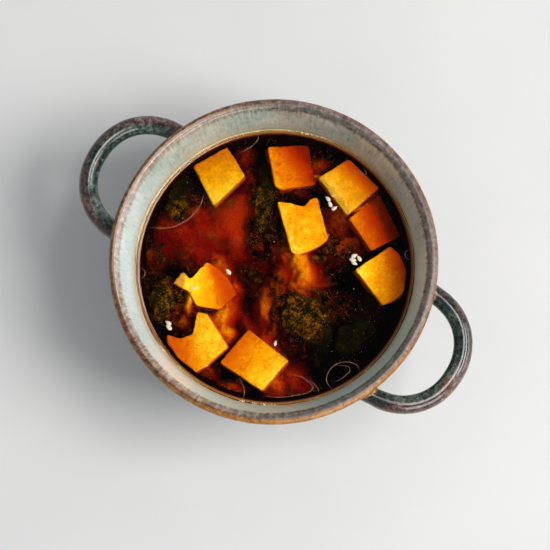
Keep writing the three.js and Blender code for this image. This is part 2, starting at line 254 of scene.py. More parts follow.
def fine_copy(name, node, voxel, smoothing):
    """A CAD solid's form in small even quads, as a new piece."""
    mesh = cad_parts[node].data.copy()
    mesh.materials.clear()
    work = bmesh.new()
    work.from_mesh(mesh)
    bmesh.ops.remove_doubles(work, verts=work.verts, dist=0.01 * MM)
    work.to_mesh(mesh)
    work.free()
    piece = add_object(name, mesh)
    remesh = piece.modifiers.new("even", "REMESH")
    remesh.mode = "VOXEL"
    remesh.voxel_size = voxel * MM
    remesh.use_smooth_shade = True
    smooth = piece.modifiers.new("soft", "SMOOTH")
    smooth.iterations = smoothing
    apply_modifiers(piece)
    return piece


# ---- materials


def colour(text):
    """A linear colour from a web colour such as #c0ffee."""
    channels = [int(text[i:i + 2], 16) / 255.0 for i in (1, 3, 5)]
    linear = [c / 12.92 if c <= 0.04045 else ((c + 0.055) / 1.055) ** 2.4 for c in channels]
    return (*linear, 1.0)


class Value:
    """What a node gives out. Arithmetic with it adds Math nodes."""

    def __init__(self, nodes, socket):
        self.nodes, self.socket = nodes, socket

    def __add__(self, other):
        return self.nodes.maths("ADD", self, other)

    def __sub__(self, other):
        return self.nodes.maths("SUBTRACT", self, other)

    def __rsub__(self, other):
        return self.nodes.maths("SUBTRACT", other, self)

    def __mul__(self, other):
        return self.nodes.maths("MULTIPLY", self, other)

    def __abs__(self):
        return self.nodes.maths("ABSOLUTE", self)


def blend(a, b, share):
    """A number between a and b, with the given share of b."""
    return a * (1.0 - share) + b * share


class Nodes:
    """The node tree of a material or world, written as short calls that hand on values."""

    def __init__(self, name, kind="Material"):
        self.kind = kind
        self.owner = (bpy.data.worlds if kind == "World" else bpy.data.materials).new(name)
        self.owner.use_nodes = True
        self.tree = self.owner.node_tree
        self.tree.nodes.clear()

    def add(self, kind, inputs, output=0, **settings):
        node = self.tree.nodes.new("ShaderNode" + kind)
        for key, value in settings.items():
            setattr(node, key, value)
        for key, value in inputs.items():
            if isinstance(value, Value):
                self.tree.links.new(value.socket, node.inputs[key])
            else:
                node.inputs[key].default_value = value
        return Value(self, node.outputs[output])

    def place(self):
        return self.add("TexCoord", {}, "Object")

    def height(self, place):
        """The height of a place in millimetres."""
        return self.add("SeparateXYZ", {0: place}, "Z") * (1.0 / MM)

    def value_of(self, name):
        return self.add("Attribute", {}, "Fac", attribute_name=name)

    def noise(self, size, detail=3.0, roughness=0.55, at=None, distortion=0.0):
        """Noise from 0 to 1 whose patches are about size millimetres across."""
        inputs = {
            "Vector": self.place() if at is None else at,
            "Scale": 1.0 / (size * MM),
            "Detail": detail,
            "Roughness": roughness,
            "Distortion": distortion,
        }
        return self.add("TexNoise", inputs, "Fac")

    def maths(self, operation, a, b=0.0):
        return self.add("Math", {0: a, 1: b}, operation=operation)

    def between(self, share, a, b):
        """A number between a and b, where the share of b is itself a value."""
        return self.add("Mix", {0: share, 2: a, 3: b}, 0, data_type="FLOAT")

    def step(self, value, low, high, to_low=0.0, to_high=1.0):
        inputs = {"Value": value, 1: low, 2: high, 3: to_low, 4: to_high}
        return self.add("MapRange", inputs, interpolation_type="SMOOTHSTEP")

    def ramp(self, value, stops):
        """A colour for each value, eased between stops of a value and its web colour."""
        node = self.tree.nodes.new("ShaderNodeValToRGB")
        node.color_ramp.interpolation = "EASE"
        while len(node.color_ramp.elements) < len(stops):
            node.color_ramp.elements.new(0.5)
        for element, (position, text) in zip(node.color_ramp.elements, stops.items()):
            element.position = position
            element.color = colour(text)
        self.tree.links.new(value.socket, node.inputs[0])
        return Value(self, node.outputs["Color"])

    def mix(self, share, a, b):
        a, b = (colour(c) if isinstance(c, str) else c for c in (a, b))
        return self.add("Mix", {0: share, 6: a, 7: b}, 2, data_type="RGBA")

    def output(self, surface, volume=None):
        node = self.tree.nodes.new("ShaderNodeOutput" + self.kind)
        self.tree.links.new(surface.socket, node.inputs["Surface"])
        if volume is not None:
            self.tree.links.new(volume.socket, node.inputs["Volume"])
        return self.owner

    def opaque(self, body, roughness, ior=1.5, relief=None, depth=0.0):
        """The finished material of a body colour, with a relief of depth millimetres."""
        inputs = {"Base Color": body, "Roughness": roughness, "IOR": ior}
        if relief is not None:
            bump = {"Height": relief, "Distance": depth * MM, "Strength": 1.0}
            inputs["Normal"] = self.add("Bump", bump, "Normal")
        return self.output(self.add("BsdfPrincipled", inputs, "BSDF"))


RUN_RADIUS = 68.0  # of the circle along which the runs of glaze are told apart
RUN_STRETCH = 0.16  # how fast they change downwards, against round the bowl


def glaze_material():
    """Mottled glaze outside, a brown lip where the glaze breaks, pale celadon down the inner
    wall, and painted shade, light and a highlight on some sides.
    """
    n = Nodes("reactive_glaze")
    place = n.place()
    lip, band, on_handle = map(n.value_of, ("lip", "band_side", "on_handle"))
    gold_side, brown_side, painted_shade_grey_wall, painted_light_cream_wall, painted_shade_right_side, painted_highlight_side = (
        n.value_of(name) for name, *_ in GLAZE_SIDES)

    # Coordinates that stay the same across the lip and down the wall, for runs of glaze.
    flat = n.add("VectorMath", {0: place, 1: (1, 1, 0)}, operation="MULTIPLY")
    around = n.add("VectorMath", {0: flat}, operation="NORMALIZE")
    around = n.add("VectorMath", {0: around, "Scale": RUN_RADIUS * MM}, operation="SCALE")
    drop = n.add("VectorMath", {0: place, 1: (0, 0, RUN_STRETCH)}, operation="MULTIPLY")
    runs = n.add("VectorMath", {0: around, 1: drop}, operation="ADD")

    streak = n.noise(1.0, 3, 0.65, at=runs)
    long_streak = n.noise(5.0, 2, 0.5, at=runs)
    broad = n.noise(16, 2, 0.5)
    mottle = n.noise(2.2, 5, 0.7, distortion=0.3)
    speck = n.noise(0.5, 2, 0.6)

    # The dark outside, greener at the inside of the handles and browner at their outside.
    patches = blend(mottle, broad, 0.34)
    green = n.ramp(patches, {
        0.38: "#0b1011", 0.46: "#1e2b29", 0.53: "#36463d", 0.6: "#62766a", 0.68: "#88a09a"})
    brown = n.ramp(patches, {
        0.38: "#120e0e", 0.46: "#2f211f", 0.54: "#523c37", 0.62: "#806a64", 0.7: "#a2908b"})
    handle_share = n.step(band * 0.5 + (broad - 0.5), -0.12, 0.26)
    wall_share = n.step(long_streak + lip * 0.004, 0.32, 0.54)
    outside = n.mix(n.between(on_handle, wall_share, handle_share), green, brown)
    rust = n.step(n.noise(8, 3, 0.6), 0.6, 0.68, 0.0, 0.7)
    outside = n.mix(rust, outside, "#6a3a26")
    outside = n.mix(n.step(speck, 0.6, 0.74, 0.0, 0.6), outside, "#97a59e")
    outside = n.mix(n.step(speck, 0.38, 0.26, 0.0, 0.7), outside, "#0a0d0f")
    outside = n.mix(n.step(band, 0.84, 1.0, 0.0, 0.75) * on_handle, outside, "#9d8468")

    # The lip from the outside inwards: an orange edge, a mottled brown or purple crest with a
    # painted highlight on one side, a line that is painted shade except on the brown side, where
    # it is dusty glaze, and then the celadon of the inner wall.
    lip_tone = blend(mottle, streak, 0.2)
    edge_brown = n.ramp(lip_tone, {0.38: "#4d2e19", 0.5: "#85572f", 0.62: "#b1814f"})
    edge_gold = n.ramp(lip_tone, {0.38: "#7a4913", 0.5: "#ac7023", 0.62: "#c79342"})
    edge = n.mix(gold_side, edge_brown, edge_gold)
    crest_brown = n.ramp(lip_tone, {
        0.36: "#3c2415", 0.46: "#623c21", 0.54: "#815431", 0.62: "#a57551", 0.7: "#c79f82"})
    crest_purple = n.ramp(lip_tone, {
        0.36: "#453832", 0.46: "#604f48", 0.54: "#7e6a63", 0.62: "#9a867f", 0.7: "#bcaca7"})
    crest = n.mix(brown_side, crest_purple, crest_brown)
    # Painted shade: on one side the crest is darker.
    crest = n.mix(painted_shade_right_side * 0.4, crest, "#4a3a2e")
    # Painted shade: a dark slate line just inside the crest, except on the brown side.
    slate_painted_shade_line = n.ramp(lip_tone, {0.4: "#41413a", 0.5: "#5f6056", 0.62: "#808176"})
    dusty = n.ramp(lip_tone, {0.4: "#86705f", 0.5: "#a28c7b", 0.62: "#bfae9f"})
    line = n.mix(brown_side, slate_painted_shade_line, dusty)
    pale_tone = blend(blend(mottle, broad, 0.5), streak, 0.35)
    celadon_pale = n.ramp(pale_tone, {0.4: "#cad9d5", 0.5: "#dae7e5", 0.6: "#e8f0ef"})
    # Painted shade: on that side the pale celadon is greener, the colour the wall takes in shade.
    celadon_pale = n.mix(painted_shade_right_side * 0.7, celadon_pale, "#d0e4d2")
    # Painted shade: on one side of the bowl the celadon of the inner wall is greyer and darker.
    celadon_painted_shade = n.ramp(pale_tone, {0.4: "#99a597", 0.5: "#b5bfb1", 0.6: "#cdd3c5"})
    celadon = n.mix(painted_shade_grey_wall, celadon_pale, celadon_painted_shade)
    # Painted light: on another side the inner wall is paler and creamier.
    celadon = n.mix(painted_light_cream_wall * 0.8, celadon, "#eff3dd")

    wander = streak - 0.5
    run_down = lip + (long_streak - 0.5) * 16.0 - on_handle * 30.0
    surface = n.mix(n.step(run_down, -9.0, -3.5), outside, edge)
    ragged = lip + wander * 1.6
    surface = n.mix(n.step(ragged - gold_side * 1.2, -1.3, -0.5), surface, crest)
    # Painted highlight: a pale line along the crest, on one side only.
    painted_crest_highlight = n.step(abs(ragged - 0.75), 0.95, 0.2, 0.0, 0.75)
    surface = n.mix(painted_crest_highlight * painted_highlight_side, surface, "#ecceb4")
    inwards = ragged + brown_side
    surface = n.mix(n.step(inwards, 1.2, 2.4, 0.0, 0.9), surface, line)
    feather = inwards + wander * 2.4 + (mottle - 0.5) * 2.5
    surface = n.mix(n.step(feather, 3.0, 6.6), surface, celadon)

    # Broth stains the wall just above the soup, and leaves a dried line there.
    height = n.height(place)
    above = height - (SOUP_LEVEL + MENISCUS_RISE)
    inner = n.step(lip, 3.0, 6.0)
    surface = n.mix(n.step(above, 6.0, 0.6, 0.0, 0.5) * inner, surface, "#c9b388")
    dried = n.step(abs(above - 0.3), 0.8, 0.2, 0.0, 0.45)
    surface = n.mix(dried * inner, surface, "#a07a4e")

    # The bare clay of the foot.
    bare_edge = height + (n.noise(5) - 0.5) * 0.9
    bare = n.step(bare_edge, GLAZE_LINE + 0.1, GLAZE_LINE - 0.1)
    clay = n.ramp(n.noise(1.2, 4, 0.7), {0.35: "#8f7156", 0.5: "#b3957a", 0.68: "#c9b097"})
    surface = n.mix(bare, surface, clay)

    # The green inside of the handles is less glossy, and so is the purple part of the crest.
    roughness = n.between(on_handle * (1.0 - handle_share), 0.12, 0.17)
    on_crest = n.step(lip, -4.0, -2.5) * n.step(lip, 4.0, 2.5)
    roughness = n.between(on_crest * (1.0 - brown_side), roughness, 0.36)
    roughness = n.between(bare, roughness, 0.85)
    return n.opaque(surface, roughness, 1.52, mottle + speck * 0.4, 0.02)


BROTH_LOSS = np.array([62.0, 215.0, 1300.0])  # of red, green and blue light, for each metre
BROTH_DENSITY = 1400.0  # the loss at which a volume lets nothing pass


def broth_material():
    """Clear brown liquid: it takes out blue at once, green within millimetres and red last."""
    n = Nodes("miso_broth")
    glass = n.add("BsdfPrincipled", {
        "Base Color": (1, 1, 1, 1),
        "Roughness": 0.0,
        "IOR": 1.34,
        "Transmission Weight": 1.0,
    }, "BSDF")
    clear = n.add("BsdfTransparent", {})
    for_lamps = n.add("LightPath", {}, "Is Shadow Ray")
    surface = n.add("MixShader", {0: for_lamps, 1: glass, 2: clear})
    tone = (*(1.0 - BROTH_LOSS / BROTH_DENSITY), 1.0)
    volume = n.add("VolumeAbsorption", {"Color": tone, "Density": BROTH_DENSITY})
    return n.output(surface, volume)


def tofu_material():
    """Tofu that takes up broth, browner at the ends that its values name: partly the broth taken
    up, partly painted shade of the broth over the deeper ends.
    """
    n = Nodes("tofu")
    soak_and_depth_shade = n.value_of("soak_and_depth_shade")
    tone = blend(n.noise(3.6, 4, 0.65), n.noise(1.0, 4, 0.7), 0.5)
    body = n.ramp(tone, {0.38: "#cd8d14", 0.5: "#edba24", 0.6: "#ffe052"})
    pores = n.step(n.noise(1.7, 2, 0.5), 0.35, 0.27, 0.0, 0.55)
    body = n.mix(pores, body, "#96600f")
    # Where the value is below zero, the block is a brighter yellow.
    body = n.mix(soak_and_depth_shade * -2.0, body, "#ffd84e")
    olive = n.value_of("olive") * n.step(tone, 0.35, 0.65, 1.0, 0.5)
    body = n.mix(olive, body, "#b09a20")
    # Browner where the value is high: partly broth taken up by the tofu, partly painted shade of
    # the broth over a block's deeper end.
    share = soak_and_depth_shade + (tone - 0.5) * 0.5 * n.step(soak_and_depth_shade, 0.0, 0.2)
    soak_and_depth_tone = n.mix(n.step(share, 0.45, 1.0), "#d46a10", "#7c4a12")
    body = n.mix(share * 2.0, body, soak_and_depth_tone)
    grain = n.noise(0.55, 3, 0.6)
    roughness = n.step(grain, 0.3, 0.7, 0.38, 0.6)
    return n.opaque(body, roughness, 1.1, blend(grain, tone, 0.4), 0.16)


def weed_material():
    """Wet dark weed, with miso grains lying on it."""
    n = Nodes("wakame")
    tone = blend(n.noise(2.4, 4, 0.65), n.noise(0.7, 3, 0.6), 0.4)
    body = n.ramp(tone, {0.38: "#030402", 0.5: "#090c06", 0.62: "#171c0b"})
    grain = n.step(blend(n.noise(3.4, 4, 0.65), n.noise(0.8, 4, 0.75), 0.5), 0.46, 0.66)
    body = n.mix(grain * n.value_of("dusting"), body, "#86602a")
    return n.opaque(body, 0.6, 1.07, tone, 0.18)


def cloud_material():
    """Settled miso: tan where it is thick, black-green where weed lies in it."""
    n = Nodes("miso_cloud")
    weed, pale = n.value_of("weed"), n.value_of("pale")
    fine = n.noise(0.7, 4, 0.7)
    tone = blend(fine, n.noise(3.5, 4, 0.65), 0.5)
    granular = blend(fine, tone, 0.3) - 0.5
    miso = n.ramp(pale + granular * 1.1, {
        0.0: "#0d0704", 0.2: "#3f2210", 0.5: "#9a6230", 0.8: "#d9a763", 1.0: "#f6dba6"})
    black = n.ramp(tone, {0.42: "#040503", 0.52: "#0b0c06", 0.62: "#1c1a0d"})
    blotch = blend(n.noise(4.5, 4, 0.65), fine, 0.5)
    ochre = n.ramp(blotch, {
        0.44: "#080905", 0.51: "#3a2a10", 0.58: "#7d5521", 0.66: "#bb8a44"})
    dark = n.mix(n.step(pale, 0.1, 0.4), black, ochre)
    share = n.step(weed + (tone - 0.5) * 1.8, 0.3, 0.7)
    return n.opaque(n.mix(share, miso, dark), 0.9, 1.05, fine, 0.2)


def murk_material():
    """Sediment on the wall: tan in the thin broth at the soup's edge, and dark further down."""
    n = Nodes("murk")
    height = n.height(n.place()) + n.noise(3.0, 3, 0.6) * 1.2
    shallow = n.step(height, SOUP_LEVEL - 2.0, SOUP_LEVEL + 0.9)
    return n.opaque(n.mix(shallow, "#1d0d06", "#966741"), 0.8, 1.05)


def plain_material(name, low, high, size, roughness, bump=0.03):
    """A finely uneven finish between two near colours."""
    n = Nodes(name)
    tone = n.noise(size, 3, 0.6)
    body = n.ramp(tone, {0.35: low, 0.65: high})
    return n.opaque(body, roughness, relief=tone, depth=bump)


# ---- bowl


def inner_wall(t):
    """Points of the inner wall, from the middle of the floor to the lip, as radius and height."""
    t = np.atleast_1d(t)[:, None]
    a, b, c, d = np.array([
        (0, FLOOR_HEIGHT), (58, FLOOR_HEIGHT), (51.5, 23), (LIP_INNER_RADIUS, LIP_HEIGHT)], float)
    s = 1 - t
    point = s ** 3 * a + 3 * s ** 2 * t * b + 3 * s * t ** 2 * c + t ** 3 * d
    along = s ** 2 * (b - a) + 2 * s * t * (c - b) + t ** 2 * (d - c)
    return point, unit(along)


def off_inner_wall(t, distance):
    """Points off the inner wall, by a distance into the clay."""
    point, along = inner_wall(t)
    return point + np.stack([along[:, 1], -along[:, 0]], -1) * np.reshape(distance, (-1, 1))


def outer_wall(t):
    t = np.atleast_1d(t)
    return off_inner_wall(t, WALL_THICKNESS + BASE_EXTRA * (1 - t))


WALL_SHARES = np.linspace(0, 1, 400)
WALL_TABLE = outer_wall(np.linspace(0.3, 1, 400))
INNER_TABLE = inner_wall(WALL_SHARES)[0]
LIP_MIDDLE = (outer_wall(1.0)[0] + inner_wall(1.0)[0][0]) / 2
LIP_AXIS = inner_wall(1.0)[1][0]
WIDEST_RADIUS = LIP_MIDDLE[0] + WALL_THICKNESS / 2
MID_WALL = 2.0  # a point further than this from the inner wall is on the outer one


def outer_radius_at(height):
    return np.interp(height, WALL_TABLE[:, 1], WALL_TABLE[:, 0])


def inner_radius_at(height):
    return np.interp(height, INNER_TABLE[:, 1], INNER_TABLE[:, 0])


def inner_height_at(radius):
    return np.interp(radius, INNER_TABLE[:, 0], INNER_TABLE[:, 1])


def wall_up_to(height):
    """Even shares of the inner wall, from the middle of the floor up to a height."""
    return np.linspace(0, np.interp(height, INNER_TABLE[:, 1], WALL_SHARES), 60)


def eased(corners, radius, steps=5):
    """A polyline whose inner corners are rounded."""
    corners = np.asarray(corners, float)
    path = [corners[0]]
    for before, corner, after in zip(corners, corners[1:], corners[2:]):
        start = corner + (before - corner) * min(radius / np.linalg.norm(before - corner), 0.45)
        end = corner + (after - corner) * min(radius / np.linalg.norm(after - corner), 0.45)
        path += [bend(start, corner, end, t) for t in np.linspace(0, 1, steps)]
    path.append(corners[-1])
    return np.array(path)


def foot_sweep(steps):
    """The hollow curve from the foot's upright side into the outer wall."""
    end = outer_wall(FOOT_SWEEP_SHARE)[0]
    along = inner_wall(FOOT_SWEEP_SHARE)[1][0]
    start = np.array([FOOT_OUTER_RADIUS, FOOT_SIDE_HEIGHT])
    corner = np.array([start[0], end[1] - along[1] / along[0] * (end[0] - start[0])])
    t = np.linspace(0, 1, steps, endpoint=False)[:, None]
    return bend(start, corner, end, t)


def bowl_profile():
    """The bowl's section, from the middle of the underside round the lip to the inner floor."""
    underside = [(r, FOOT_RECESS) for r in np.linspace(0, FOOT_INNER_RADIUS - 2, 8)]
    bare = FOOT_OUTER_RADIUS - GLAZE_STEP
    foot = eased([
        underside[-1], (FOOT_INNER_RADIUS - 1, FOOT_RECESS), (FOOT_INNER_RADIUS, FOOT_CHAMFER),
        (FOOT_INNER_RADIUS + FOOT_CHAMFER, 0), (FOOT_OUTER_RADIUS - FOOT_CHAMFER, 0),
        (bare, FOOT_CHAMFER), (bare, GLAZE_LINE - 0.15),
        (FOOT_OUTER_RADIUS, GLAZE_LINE + 0.1), (FOOT_OUTER_RADIUS, FOOT_SIDE_HEIGHT),
    ], FOOT_ROUNDING)
    wall = outer_wall(np.linspace(FOOT_SWEEP_SHARE, 1, 78))
    turn = np.linspace(0, math.pi, 30)[1:-1, None]
    spoke = wall[-1] - LIP_MIDDLE
    side = np.array([-spoke[1], spoke[0]])
    lip = LIP_MIDDLE + spoke * np.cos(turn) + side * np.sin(turn)
    inside = inner_wall(np.linspace(1, 0, 84))[0]
    return np.vstack([underside[:-1], foot[:-1], foot_sweep(14), wall, lip, inside])


def loop_points(angle):
    """The middle of one handle's band at angles round its loop."""
    c, s = np.cos(angle), np.sin(angle)
    power = 2 / HANDLE_LOOP_SQUARENESS
    x = HANDLE_LOOP_START + HANDLE_LOOP_REACH * c ** power
    y = HANDLE_LOOP_SPREAD * np.sign(s) * np.abs(s) ** power
    return np.stack([x, y], -1)


SECTION_TURN = circle(HANDLE_SIDES)


def loop_rings():
    """The band's sections round the loop, square to its middle line."""
    reach = math.radians(HANDLE_LOOP_ANGLE)
    angle = np.linspace(-reach, reach, HANDLE_RINGS)
    along = unit(loop_points(angle + 0.01) - loop_points(angle - 0.01))
    across = np.stack([-along[:, 1], along[:, 0]], -1)
    width = HANDLE_HALF_WIDTH * np.cos(SECTION_TURN)[:, None]
    flat = loop_points(angle)[:, None, :] + across[:, None, :] * width
    height = HANDLE_HEIGHT + HANDLE_HALF_HEIGHT * np.sin(SECTION_TURN)
    height = np.broadcast_to(height, flat.shape[:2])
    return np.concatenate([flat, height[..., None]], -1)


def root_rings(side, distance):
    """The band's outlines at one root, at distances from the outer wall."""
    rest = np.clip(1 - distance / HANDLE_FILLET, 0, 1)
    swell = (HANDLE_FILLET * (1 - np.sqrt(1 - rest * rest)))[:, None]
    y = side * (HANDLE_LOOP_SPREAD - (HANDLE_HALF_WIDTH + swell) * np.cos(SECTION_TURN))
    z = HANDLE_HEIGHT + (HANDLE_HALF_HEIGHT + swell) * np.sin(SECTION_TURN)
    radius = outer_radius_at(z) + distance[:, None]
    return np.stack([np.sqrt(radius ** 2 - y ** 2), y, z], -1)


def handle_rings():
    """The whole band's sections, from inside the wall at one root to inside it at the other."""
    distance = HANDLE_FILLET * np.concatenate([[-1.0, -0.02], np.linspace(0.0, 1.0, 22) ** 1.6])
    loop = loop_rings()
    first, last = root_rings(-1, distance), root_rings(1, distance)[::-1]
    share = (np.arange(1, 12) / 12)[:, None, None]
    rise = first[-1] * (1 - share) + loop[0] * share
    fall = loop[-1] * (1 - share) + last[0] * share
    return np.concatenate([first, rise, loop, fall, last])


def lip_distance(points):
    """Millimetres along the surface from the lip's crest: inside above 0, outside below."""
    radius = radius_of(points)
    offset = np.stack([radius, points[:, 2]], -1) - LIP_MIDDLE
    up = offset @ LIP_AXIS
    out = offset @ np.array([LIP_AXIS[1], -LIP_AXIS[0]])
    half = WALL_THICKNESS / 2
    round_part = -half * np.arctan2(out, np.maximum(up, 1e-6))
    straight = -np.sign(out) * (half * math.pi / 2 + np.maximum(-up, 0))
    along = np.where(up > 0, round_part, straight)
    # Near the floor the wall's slope no longer tells the two sides apart, and the place does.
    height = points[:, 2]
    low = height < FLOOR_HEIGHT + 12
    under = (height < FLOOR_HEIGHT - 0.3) | (radius > inner_radius_at(height) + MID_WALL)
    along = np.where(low & under, -np.abs(along), along)
    # A handle counts as outside, further the further it reaches.
    past_rim = np.maximum(radius - WIDEST_RADIUS - 0.15, 0)
    return np.where(past_rim > 0, np.minimum(along, -3.5 - 3.0 * past_rim), along)


def handle_side(points):
    """Across a handle's band: -1 at the loop's inside, 1 at its outside."""
    x = (np.abs(points[:, 0]) - HANDLE_LOOP_START) / HANDLE_LOOP_REACH
    y = np.abs(points[:, 1]) / HANDLE_LOOP_SPREAD
    power = HANDLE_LOOP_SQUARENESS
    ratio = (np.maximum(x, 0) ** power + y ** power) ** (1 / power)
    return np.clip((ratio - 1) * HANDLE_LOOP_REACH / HANDLE_HALF_WIDTH, -1.2, 1.2)


# Sides of the bowl where the glaze differs, and where shade, light and a highlight are painted
# into it: the value's name, a direction from the bowl's middle, and the cosines between which it
# sets in. The glaze's material reads them in turn.
GLAZE_SIDES = [
    ("gold_side", (0.68, -0.73), 0.4, 0.95),
    ("brown_side", (-0.85, -0.53), -0.25, 0.6),
    # painted shade: a greyer, darker inner wall on this side
    ("painted_shade_grey_wall", (-0.31, 0.95), -0.3, 0.75),
    # painted light: a paler, creamier inner wall on this side
    ("painted_light_cream_wall", (0.17, -0.98), 0.7, 1.0),
    # painted shade: a darker crest and a greener inner wall on this side
    ("painted_shade_right_side", (1.0, 0.0), -0.1, 0.8),
    # painted highlight: a pale line along the crest on this side
    ("painted_highlight_side", (-1.0, 0.0), 0.6, 0.97),
]

BOWL_SEGMENTS = 288
THROWING_PITCH = 3.1  # of the rings that the potter's fingers left outside
THROWING_DEPTH = 0.07


def fine_bowl():
    bowl = make_piece("glazed_bowl", *turned(bowl_profile(), BOWL_SEGMENTS))
    rings = handle_rings()
    handles = []
    for name, turn in (("handle_right", 1), ("handle_left", -1)):
        handles.append(make_piece(name, *closed_rings(rings * (turn, turn, 1))))
        union = bowl.modifiers.new(name, "BOOLEAN")
        union.operation = "UNION"
        union.solver = "MANIFOLD"
        union.object = handles[-1]
    apply_modifiers(bowl)
    for handle in handles:
        bpy.data.objects.remove(handle)

    mesh = bowl.data
    points = points_of(mesh)
    set_values(mesh, "lip", lip_distance(points))
    set_values(mesh, "band_side", handle_side(points))
    radius = radius_of(points)
    set_values(mesh, "on_handle", smooth_step(radius, WIDEST_RADIUS + 0.3, WIDEST_RADIUS + 2.6))
    round_place = points[:, :2] / np.maximum(radius, 1.0)[:, None]
    for name, direction, low, high in GLAZE_SIDES:
        set_values(mesh, name, smooth_step(round_place @ np.array(direction), low, high))

    # Hand-made unevenness: slow waves all over, and throwing rings on the outer wall.
    normal = normals_of(mesh)
    angle = np.arctan2(points[:, 1], points[:, 0])
    outside = (radius > inner_radius_at(points[:, 2]) + MID_WALL) & (radius < WIDEST_RADIUS)
    window = smooth_step(points[:, 2], 12, 18) * smooth_step(points[:, 2], 58, 50) * outside
    throwing = np.sin(2 * math.pi * points[:, 2] / THROWING_PITCH + angle)
    push = layered_noise(points, (0.10, 18, 3), (0.05, 6, 4))
    push += THROWING_DEPTH * throwing * window
    standing = smooth_step(points[:, 2], 1.0, 4.0)
    set_points(mesh, points + normal * (push * standing)[:, None])
    mesh.shade_smooth()
    return bowl


# ---- broth


def meniscus_height(radius):
    """How far the surface stands above the soup's level, by distance from the wall."""
    edge = inner_radius_at(SOUP_LEVEL + MENISCUS_RISE)
    inwards = np.maximum(edge - radius, 0)
    broad = (MENISCUS_RISE - FILM_RISE) * np.clip(1 - inwards / MENISCUS_WIDTH, 0, 1) ** 3
    film = FILM_RISE * np.clip(1 - inwards / FILM_WIDTH, 0, 1) ** 2
    return broad + film


def surface_at(x, y):
    """The height of the broth's surface."""
    ripple = layered_noise(flat_points(x, y), (0.012, 9, 11), (0.02, 24, 12))
    return SOUP_LEVEL + meniscus_height(np.hypot(x, y)) + ripple


BROTH_SEGMENTS = 320


def liquid():
    """The whole broth as one closed skin, which climbs a little at the wall."""
    wall = off_inner_wall(wall_up_to(SOUP_LEVEL + MENISCUS_RISE), INTO_WALL)
    wall[0] = (0, FLOOR_HEIGHT - INTO_WALL)
    edge = wall[-1, 0]
    near = edge - (MENISCUS_WIDTH + 0.4) * np.linspace(0, 1, 40)[1:] ** 1.3
    far = np.linspace(near[-1], 0, 70)[1:]
    top = [(r, SOUP_LEVEL + float(meniscus_height(r))) for r in np.concatenate([near, far])]
    points, faces = turned(np.vstack([wall, top]), BROTH_SEGMENTS)
    radius = radius_of(points)
    upper = (points[:, 2] > SOUP_LEVEL - 0.5) & (radius < edge - 0.3)
    points[upper, 2] = surface_at(points[upper, 0], points[upper, 1])
    return make_piece("clear_broth", points, faces)


# ---- tofu and wakame


# Where broth has soaked into the tofu, and painted shade where the broth over a block's deeper
# end dims it: how much of it everywhere, and then, for the browner ends, their heading, how far
# from the block's middle it sets in, over what width, and how much is added.
TOFU_SOAK_AND_SHADE = {
    1: (-0.22, (193, 4.0, 8.0, 0.45), (20, 6.0, 5.0, 0.25)),
    2: (0.06, (75, -3.0, 13.0, 0.75)),
    3: (0.08, (100, 6.0, 8.0, 0.2)),
    4: (0.14, (74, 1.0, 10.0, 0.5)),
    5: (0.19, (59, -7.0, 14.0, 0.8)),
    6: (-0.15, (62, 1.0, 9.0, 0.65)),
    7: (-0.3, (60, -1.5, 9.0, 0.85), (212, 5.5, 4.0, 0.6)),
    8: (0.06, (235, -1.0, 10.0, 0.35)),
    9: (-0.03, (186, -1.0, 12.0, 0.3)),
}

# The blocks with an olive cast, and how strong it is.
TOFU_OLIVE = {1: 0.5, 4: 0.6, 6: 0.15}

TOFU_VOXEL = 0.36
TOFU_PITS = 90  # on each block, with these radii and depths
PIT_RADII, PIT_DEPTHS = (0.45, 1.1), (0.12, 0.42)
LEAF_VOXEL = 0.27


def soft_tofu(number):
    """A cut block: slightly uneven faces, fine pores, and a few larger pits."""
    piece = fine_copy(f"soft_tofu_{number}", f"tofu_{number}", TOFU_VOXEL, 2)
    points, normal = points_of(piece.data), normals_of(piece.data)
    draw = np.random.default_rng(100 + number)
    push = layered_noise(
        points, (0.16, 4.6, 20 + number), (0.10, 1.5, 30 + number), (0.06, 0.8, 40 + number))
    for middle in points[draw.integers(0, len(points), TOFU_PITS)]:
        reach, depth = draw.uniform(*PIT_RADII), draw.uniform(*PIT_DEPTHS)
        near = np.clip(1 - np.sum((points - middle) ** 2, axis=1) / reach ** 2, 0, 1)
        push -= depth * near ** 2
    # Partly broth taken up by each block, partly painted shade that darkens its deeper ends.
    everywhere, *ends = TOFU_SOAK_AND_SHADE[number]
    soak_and_depth_shade = np.full(len(points), everywhere)
    from_middle = points - (points.min(axis=0) + points.max(axis=0)) / 2
    for heading, start, width, more in ends:
        along = from_middle[:, :2] @ np.array(towards(heading))
        along += 1.4 * soft_noise(points, 4.0, 90)
        soak_and_depth_shade += more * smooth_step(along, start, start + width)
    set_values(piece.data, "soak_and_depth_shade", soak_and_depth_shade)
    set_values(piece.data, "olive", np.full(len(points), TOFU_OLIVE.get(number, 0.0)))
    set_points(piece.data, points + normal * push[:, None])
    piece.data.shade_smooth()
    return piece


def leaf(number):
    """A wakame leaf: the solid's blade with fine wrinkles."""
    piece = fine_copy(f"leaf_{number}", f"wakame_{number}", LEAF_VOXEL, 4)
    points = points_of(piece.data)
    flat = points * (1, 1, 0)
    points[:, 2] += layered_noise(flat, (0.22, 2.2, 60 + number), (0.10, 0.9, 70 + number))
    set_points(piece.data, points)
    dust_leaves(piece)
    piece.data.shade_smooth()
    return piece


def dust_leaves(piece):
    """Note how much miso lies on a piece of weed, from the cloud round it."""
    x, y, _ = points_of(piece.data).T
    pale = cloud_field(x, y)[1]
    set_values(piece.data, "dusting", smooth_step(pale, 0.15, 0.55))


LEAF_THICKNESS = 0.3  # of a sunken leaf


